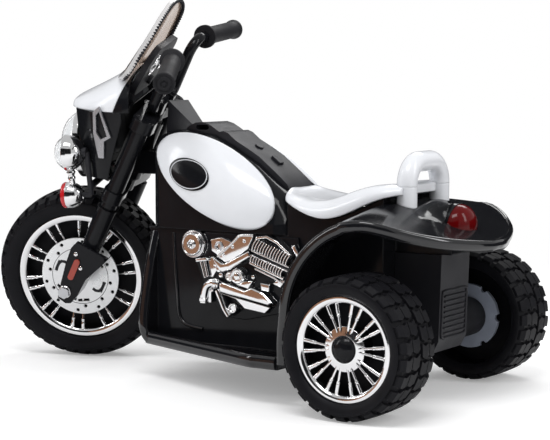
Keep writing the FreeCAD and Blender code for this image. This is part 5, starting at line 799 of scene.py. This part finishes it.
def topOf(tree, x, y):
    hit = tree.ray_cast(Vector((x / mm, y / mm, rayFrom)), Vector((0, 0, -1)))[0]
    return hit.z * mm if hit else None


def swellMesh(s, deckTree, hoodTree):
    bm = bmesh.new()
    tops, lows = [], []
    for i in range(s["rows"] + 1):
        x = s["rear"] + (s["front"] - s["rear"]) * i / s["rows"]
        mid = topOf(deckTree, x, 0)
        crest = topOf(hoodTree, x, 0) or mid
        power = s["power"] + s["steep"] * max(0, 1 - i / s["steepRows"])
        tops.append([])
        lows.append([])
        for j in range(s["cols"] + 1):
            y = s["half"] * (2 * j / s["cols"] - 1)
            ground = topOf(deckTree, x, y)
            lift = max(crest - mid - s["under"], 0) / (1 + (abs(y) / s["waist"]) ** power)
            rise = lift if lift > s["least"] else lift - s["sink"]
            tops[-1].append(bm.verts.new((x / mm, y / mm, (ground + rise) / mm)))
            lows[-1].append(bm.verts.new((x / mm, y / mm, (ground - s["deep"]) / mm)))
    skinSheets(bm, tops, lows)
    return meshFrom(bm, "blackGloss")


deckMesh = mergedCopy("rear_deck", "blackGloss")
deckTree, hoodTree = treeOf(deckMesh), treeOf(mergedCopy("tail_lamp_hood"))
deckParts = [deckMesh, deckLip(deckShape), swellMesh(lampSwell, deckTree, hoodTree)]
placePiece("rearDeckShell", deckParts, "rear_deck", angle=34)

# domed tail lens, pressed flat where it would sink into the deck
tailLens = {"at": (-348.8, 0, 229), "facing": (-0.99, 0, -0.139), "radius": 31, "skirt": 3, "dome": 22,
            "steps": 12, "sink": 1.5}


def buildTailLens(d):
    r, h = d["radius"], d["dome"]
    profile = [(0, 0), (r, 0)]
    for i in range(d["steps"]):
        a = math.pi / 2 * i / d["steps"]
        profile.append((r * math.cos(a), d["skirt"] + h * math.sin(a)))
    mesh = lathe(profile + [(0, d["skirt"] + h)], "redLens", steps=72)
    mesh.transform(frameFrom(Vector(d["at"]) / mm, d["facing"], (0, 0, 1)))
    for v in mesh.vertices:
        floor = topOf(deckTree, v.co.x * mm, v.co.y * mm)
        if floor and v.co.z * mm < floor - d["sink"]:
            v.co.z = (floor - d["sink"]) / mm
    placePiece("tailLensDome", mesh, "tail_lamp_lens", angle=50)


buildTailLens(tailLens)
print("deck rounded")

# pieces that keep the shape of their node
plain = {
    "blackGloss": ["main_body", "tank", "fairing_shell", "tail_lamp_hood", "fork_tubes", "fork_sliders",
                   "upper_clamp", "lower_clamp", "handlebar", "axle_brackets", "tank_badges", "hub_cap_left",
                   "hub_cap_right", "steering_stem"],
    "blackSatin": ["console", "lamp_bracket", "gear_case", "neck_cowl", "dash", "power_button",
                   "direction_rocker", "horn_button"],
    "blackMould": ["bottom_cover", "accelerator_pedal", "gearbox", "battery", "charge_socket", "head_bushes"],
    "gripRubber": ["grips"],
    "whiteGloss": ["seat", "handle_hoop", "handle_feet", "fairing_cowl", "tank_panels"],
    "chromePlate": ["side_lamps", "headlight", "marker_lamps"],
    "discPlate": ["brake_discs"],
    "zincSteel": ["front_axle", "rear_axle", "axle_spacers", "cover_screws", "motor"],
    "silverSatin": ["vent_bezels"],
    "greySatin": ["drive_ring"],
    "reflectorRed": ["fork_reflectors"],
    "clearLens": ["headlight_lens", "side_lenses"],
    "tintedScreen": ["windshield"],
}
for finish, names in plain.items():
    for node in names:
        placePiece(node + "Skin", mergedCopy(node, finish), node, angle=32)
print("CAD pieces dressed")

# rolled edges of the leg shields and footboards, in millimetres on the left side
boardEdges = {
    "shield": [(93.5, 69, 206), (94.5, 79.5, 172), (95.5, 86.5, 141.6), (96.2, 94, 105), (95.4, 98.2, 76),
               (92, 97.4, 62), (86, 96.6, 55)],
    "shieldSize": (4.6, 7.6),
    "board": [(91, 94.5, 56.6), (60, 105, 56.6), (0, 126, 56.6), (-80, 153.5, 56.6), (-131.7, 171, 56.6),
              (-150, 172, 56.6), (-177, 172, 56.6)],
    "boardSize": (4.6, 8.8),
    "ridge": [(60, 72.6, 206), (58, 72.6, 170), (55, 72.6, 130), (52, 72.6, 96), (46, 72.6, 82), (34, 72.6, 76),
              (10, 72.6, 73)],
    "ridgeSize": 2.4,
}
# pressed panel with ribs on the front of each leg shield, as (across, up) in millimetres
shieldFront = {
    "panel": [(20, 70), (78, 70), (84, 80), (81, 108), (74, 140), (64, 176), (58, 184), (20, 184)],
    "sunk": 0.6, "rise": 2.6, "rounding": 2.2, "probe": (0.3, 0.05, 0.12),
    "ribs": [(88, 76), (104, 73), (120, 69), (136, 65), (152, 60)], "rib": (26, 1.7),  # height, end; start, radius
}


def boardSide(d):
    wide, tall = d["shieldSize"]
    shield = tube(d["shield"], wide, "blackLacquer", up=(1, 0, 0), tall=tall)
    wide, tall = d["boardSize"]
    board = tube(d["board"], wide, "blackLacquer", up=(0, 0, 1), tall=tall)
    return joinMeshes([shield, board, tube(d["ridge"], d["ridgeSize"], "blackLacquer", sides=10)])


def shieldPanel(d):
    tree = treeOf(mergedCopy("main_body"))
    level = tree.ray_cast(Vector(d["probe"]), Vector((-1, 0, 0)))[0].x * mm
    top = level + d["rise"]
    panel = slab(d["panel"], level - d["sunk"], top, "blackGloss", d["rounding"])
    panel.transform(Matrix.Rotation(-math.pi / 2, 4, "Z"))
    start, r = d["rib"]
    ribs = [tube([(top, -start, z), (top, -end, z)], r, "blackGloss", steps=1, sides=12) for z, end in d["ribs"]]
    return joinMeshes([panel] + ribs)


placePiece("shieldPanels", paired(shieldPanel(shieldFront), mirror), "main_body", stands=False)
placePiece("boardEdges", paired(boardSide(boardEdges), mirror), "main_body", angle=50, stands=False)
print("board edges rolled")

# gauges in the dash, with ticks and a needle
gauge = {
    "at": (140.28, 0, 440), "lean": -36, "places": [(25, 9), (-25, 9)],
    "bezel": [(16.0, -4.3), (17.8, -4.3), (17.8, 0.9), (17.1, 1.6), (16.4, 1.2), (16.0, -0.4)],
    "face": [(0, -4.3), (16.2, -4.3), (16.2, -3.5), (0, -3.5)],
    "tick": [(12.4, -0.45), (15.2, -0.45), (15.2, 0.45), (12.4, 0.45)], "tickSpan": (-3.6, -3.2), "ticks": 16,
    "needle": [(-3.5, -0.7), (12, -0.3), (12, 0.3), (-3.5, 0.7)], "needleSpan": (-3.0, -2.4),
    "pin": [(0, -3.5), (2.1, -3.5), (1.9, -2.0), (0, -1.7)],
}
rake = -28  # degrees that the stem leans
straight = Matrix.Translation(frontRoll["pos_m"]) @ Matrix.Rotation(math.radians(rake), 4, "Y")
steered = forkFrame @ straight.inverted()


def leaning(place, lean):
    # frame of a leaning piece of the fairing, given for straight steering in millimetres
    spot = Matrix.Translation([c / mm for c in place])
    return steered @ spot @ Matrix.Rotation(math.radians(lean), 4, "Y")


def gaugeMesh(d):
    tick = slab(d["tick"], *d["tickSpan"], "whiteGloss")
    return joinMeshes([
        lathe(d["bezel"], "chromePlate"), lathe(d["face"], "blackSatin"),
        repeat("ring", tick, Count=d["ticks"]), slab(d["needle"], *d["needleSpan"], "reflectorRed"),
        lathe(d["pin"], "chromePlate", steps=24)])


dials = []
for y, z in gauge["places"]:
    dial = gaugeMesh(gauge)
    facing = Matrix.Translation((0, y / mm, z / mm)) @ Matrix.Rotation(math.pi / 2, 4, "Z")
    dial.transform(leaning(gauge["at"], gauge["lean"]) @ facing)
    dials.append(dial)
placePiece("dashGauges", dials, "dash", stands=False)
print("gauges set")


def sidesOf(node):
    spots = [v.co.copy() for v in mergedCopy(node).vertices]
    return [[p for p in spots if p.y * side > 0] for side in (1, -1)]


def flatOval(points):
    # middle, axes from thin to long and half sizes of a flat oval piece
    cloud = numpy.array([list(p) for p in points])
    axes = numpy.linalg.eigh(numpy.cov(cloud.T))[1].T
    ends = [(float((cloud @ a).min()), float((cloud @ a).max())) for a in axes]
    axes = [Vector([float(c) for c in a]) for a in axes]
    middle = sum((a * (low + high) / 2 for a, (low, high) in zip(axes, ends)), Vector())
    return middle, axes, [(high - low) / 2 for low, high in ends]


# bare badges with a pale line on each
badgeRims = {"share": 0.9, "radius": 0.75, "steps": 72, "above": 0.05}


def badgeRim(points, tree, d):
    middle, (thin, short, long), (_, shortHalf, longHalf) = flatOval(points)
    thin = thin if thin.y * middle.y > 0 else -thin
    ring = []
    for i in range(d["steps"] + 1):
        a = math.tau * i / d["steps"]
        spot = middle + long * (longHalf * d["share"] * math.cos(a))
        spot += short * (shortHalf * d["share"] * math.sin(a))
        hit = tree.ray_cast(spot + thin * d["above"], -thin)[0]
        ring.append((hit or spot) * mm)
    return tube(ring, d["radius"], "whiteGloss", steps=1, sides=10)


badgeTree = treeOf(mergedCopy("tank_badges"))
rims = [badgeRim(points, badgeTree, badgeRims) for points in sidesOf("tank_badges")]
placePiece("badgeRims", rims, "tank_badges", angle=50, stands=False)
print("badges rimmed")

# windshield trim: beads on the rider's side, and pale paint on its outward and forward faces, a painted highlight
screenTrim = {
    "base": (189.28, 0, 431), "tilt": -39, "bow": 340, "half": 94, "height": 138, "reach": 3.6,
    "shares": [(0.0, 0.0), (0.53, 0.06), (0.9, 0.17), (1.0, 0.25), (0.965, 0.41), (0.9, 0.56), (0.79, 0.76),
               (0.62, 0.88), (0.4, 0.955), (0.18, 0.99)],
    "radius": 2.9, "pitch": 4.6, "beadSteps": 4, "inset": 1.9, "back": 4.4, "outer": 0.6, "fore": 0.8,
}


def buildTrim(d):
    local = leaning(d["base"], d["tilt"])
    home = local.inverted()
    trim = mergedCopy("windshield_trim", "blackSatin", "screenEdge")
    middle = Vector((0, d["height"] / 2))
    for p in trim.polygons:
        at, facing = home @ p.center, home.to_3x3() @ p.normal
        away = Vector((0, at.y, at.z - middle.y / mm)).normalized()
        # faces turned outward or forward take the pale paint, a painted highlight
        p.material_index = 1 if facing.dot(away) > d["outer"] or facing.x > d["fore"] else 0
    side = [(d["half"] * a, d["height"] * b, 0) for a, b in d["shares"]]
    tree = treeOf(trim)
    spots = []
    for p in curvePoints(side[1:] + [(-a, b, 0) for a, b, _ in side[::-1] if a > 0], steps=8):
        flat = p.xy
        flat = middle + (flat - middle) * (1 - d["inset"] / (flat - middle).length)
        deep = math.sqrt(d["bow"] ** 2 - flat.x ** 2) - d["bow"] - d["back"]
        spot = local @ Vector((deep / mm, flat.x / mm, flat.y / mm))
        if tree.find_nearest(spot)[3] * mm < d["reach"]:
            spots.append(spot * mm)
    step = d["pitch"] / d["beadSteps"]
    even = [spots[0]]
    for p in curvePoints(spots, steps=6):
        if (p - even[-1]).length >= step:
            even.append(even[-1] + (p - even[-1]).normalized() * step)
    chain = tube(even, d["radius"], "blackSatin", steps=1, sides=10, beads=d["beadSteps"])
    placePiece("screenTrim", [trim, chain], "windshield_trim")


buildTrim(screenTrim)

# marker lamps: thick red lenses and chrome stems; grips: turned end caps
markerLens = [(0, -0.2), (18.6, -0.2), (18.9, 0.6), (18.9, 4.4), (17.6, 6.4), (12, 8.4), (6, 9.2), (0, 9.5)]
lampStem = {
    "lampBack": 11, "markerBack": 12, "from": 21, "to": 15, "radius": 4.2,
    "knots": [(0.3, 6.6), (0.62, 5.8)], "knot": [(0, -0.5), (0.8, -0.5), (1, 0), (0.8, 0.5), (0, 0.5)],
}
gripCap = {  # past the grip's radius, along; the ends lie on the axis
    "edge": [(0.8, -5), (1.4, -3), (1.4, 0.2), (0.6, 1.6), (-1.2, 2.0), (-2.4, 1.0), (-3.6, 1.0), (-4.6, 2.2),
             (-8.2, 2.6), (-8.8, 1.2), (-10.6, 1.2), (-11.0, 2.4)],
    "ends": [(0, -5), (0, 2.5)], "rimDepth": 0.002,
}


def lensFrame(points):
    # middle, forward axis and half thickness of a lens
    middle, (thin, _, _), (half, _, _) = flatOval(points)
    return middle, thin if thin.x > 0 else -thin, half


def buildMarkers():
    parts = []
    for points in sidesOf("marker_lenses"):
        middle, ahead, half = lensFrame(points)
        dome = lathe(markerLens, "markerRed")
        dome.transform(frameFrom(middle - ahead * half, ahead, (0, 0, 1)))
        parts.append(dome)
    placePiece("markerDomes", parts, "marker_lenses")


def buildStems(d):
    parts = []
    for pair in zip(sidesOf("side_lenses"), sidesOf("marker_lenses")):
        ends = []
        for points, behind in zip(pair, (d["lampBack"], d["markerBack"])):
            middle, ahead, _ = lensFrame(points)
            ends.append((middle - ahead * behind / mm) * mm)
        down = (ends[1] - ends[0]).normalized()
        top, low = ends[0] + down * d["from"], ends[1] - down * d["to"]
        parts.append(tube([top, top.lerp(low, 0.5), low], d["radius"], "chromePlate"))
        for share, r in d["knots"]:
            knot = lathe([(r * a, r * b) for a, b in d["knot"]], "chromePlate", steps=32)
            knot.transform(frameFrom(top.lerp(low, share) / mm, down, (1, 0, 0)))
            parts.append(knot)
    placePiece("lampStems", parts, "side_lamps", stands=False)


def buildGripCaps(d):
    parts = []
    first, last = d["ends"]
    for points in sidesOf("grips"):
        middle, (_, _, long), _ = flatOval(points)
        long = long if long.y * middle.y > 0 else -long
        away = [(p - middle, (p - middle).dot(long)) for p in points]
        end = max(reach for _, reach in away)
        r = max((p - long * reach).length for p, reach in away if reach > end - d["rimDepth"]) * mm
        cap = lathe([first] + [(r + a, y) for a, y in d["edge"]] + [last], "gripRubber")
        cap.transform(frameFrom(middle + long * end, long, (0, 0, 1)))
        parts.append(cap)
    placePiece("gripCaps", parts, "grips", stands=False)


buildMarkers()
buildStems(lampStem)
buildGripCaps(gripCap)

# ribbed grille on the back of the gear case, whose face leans from (x, z) to (x, z)
caseGrille = {
    "face": (-343.7, 82, -347.7, 196), "half": 29, "tall": 1.3, "sunk": 1, "deep": 2.6, "taper": 0.6,
    "low": 91, "pitch": 7, "count": 8, "frame": (34, 85, 147, 5), "rod": 1.8, "rodSunk": 0.6,
}


def buildGrille(d):
    x0, z0, x1, z1 = d["face"]
    lean = (x1 - x0) / (z1 - z0)
    tall, low = d["tall"], d["low"]
    at = x0 + lean * (low - z0)
    root, tip, slim = at + d["sunk"], at - d["deep"], tall * d["taper"]
    outline = [(root, low - tall), (root, low + tall), (tip, low + slim), (tip, low - slim)]
    bar = slab(outline, -d["half"], d["half"], "blackSatin")
    bars = repeat("row", bar, Count=d["count"], Step=(lean * d["pitch"] / mm, 0, d["pitch"] / mm))
    wide, low, high, corner = d["frame"]
    flat = wide - corner
    loop = [(flat, low), (0, low), (-flat, low), (-wide, low + corner), (-wide, (low + high) / 2),
            (-wide, high - corner), (-flat, high)]
    loop += [(-y, low + high - z) for y, z in loop[1:]]
    rod = tube([(x0 + lean * (z - z0) - d["rodSunk"], y, z) for y, z in loop], d["rod"], "blackSatin", sides=12)
    placePiece("caseGrille", [bars, rod], "gear_case", stands=False)


buildGrille(caseGrille)
print("trim, lenses, grips and grille set")

# brake discs: a fine turned groove and bent slots, given as (radius, degrees)
discMarks = {
    "groove": (43.2, 44.0), "slot": [(38, -13), (38, -4), (37.6, 6), (36, 14), (31.5, 19), (26.5, 20)], "slots": 4,
    "width": 4.4, "sunk": 0.5, "grooveRise": 0.1, "slotRise": 0.35,
}
# fork brackets: screws, and a ring under each axle nut
bracketFittings = {
    "ring": [(5.6, -0.3), (9.6, -0.3), (9.6, 1.0), (8.8, 1.9), (6.2, 1.9)], "ringProbe": (7, 1),
    "screw": [(0, -0.3), (3.4, -0.3), (3.1, 1.0), (2.0, 1.8), (0.9, 1.9), (0.8, 1.2), (0, 1.2)],
    "screws": [(6, 62), (-8, 45)], "rayFrom": 0.2,
}


def wheelMarks(d):
    disc = mergedCopy("brake_discs")
    disc.transform(forkFrame.inverted())
    top = max(v.co.y for v in disc.vertices) * mm
    low, high = top - d["sunk"], top + d["grooveRise"]
    a, b = d["groove"]
    path = [(r * math.cos(math.radians(t)), r * math.sin(math.radians(t))) for r, t in d["slot"]]
    slot = slab(bandOutline(path, d["width"]), low, top + d["slotRise"], "blackSatin")
    groove = lathe([(a, low), (b, low), (b, high), (a, high)], "blackSatin", steps=96)
    half = joinMeshes([groove, repeat("ring", slot, Count=d["slots"])])
    return paired(half, halfTurn)


def forkFittings(d):
    bracket = mergedCopy("axle_brackets")
    bracket.transform(forkFrame.inverted())
    tree = treeOf(bracket)

    def raised(x, z, profile):
        level = tree.ray_cast(Vector((x / mm, d["rayFrom"], z / mm)), Vector((0, -1, 0)))[0].y * mm
        return [(r, y + level) for r, y in profile]

    parts = [lathe(raised(*d["ringProbe"], d["ring"]), "chromePlate")]
    parts += [turnedAt(spot, raised(*spot, d["screw"]), "chromePlate", steps=24) for spot in d["screws"]]
    return paired(joinMeshes(parts), mirror)


placePiece("discMarks", wheelMarks(discMarks), "brake_discs", forkFrame, stands=False)
placePiece("forkFittings", forkFittings(bracketFittings), "front_axle", forkFrame, stands=False)
print("wheel and fork fittings set")
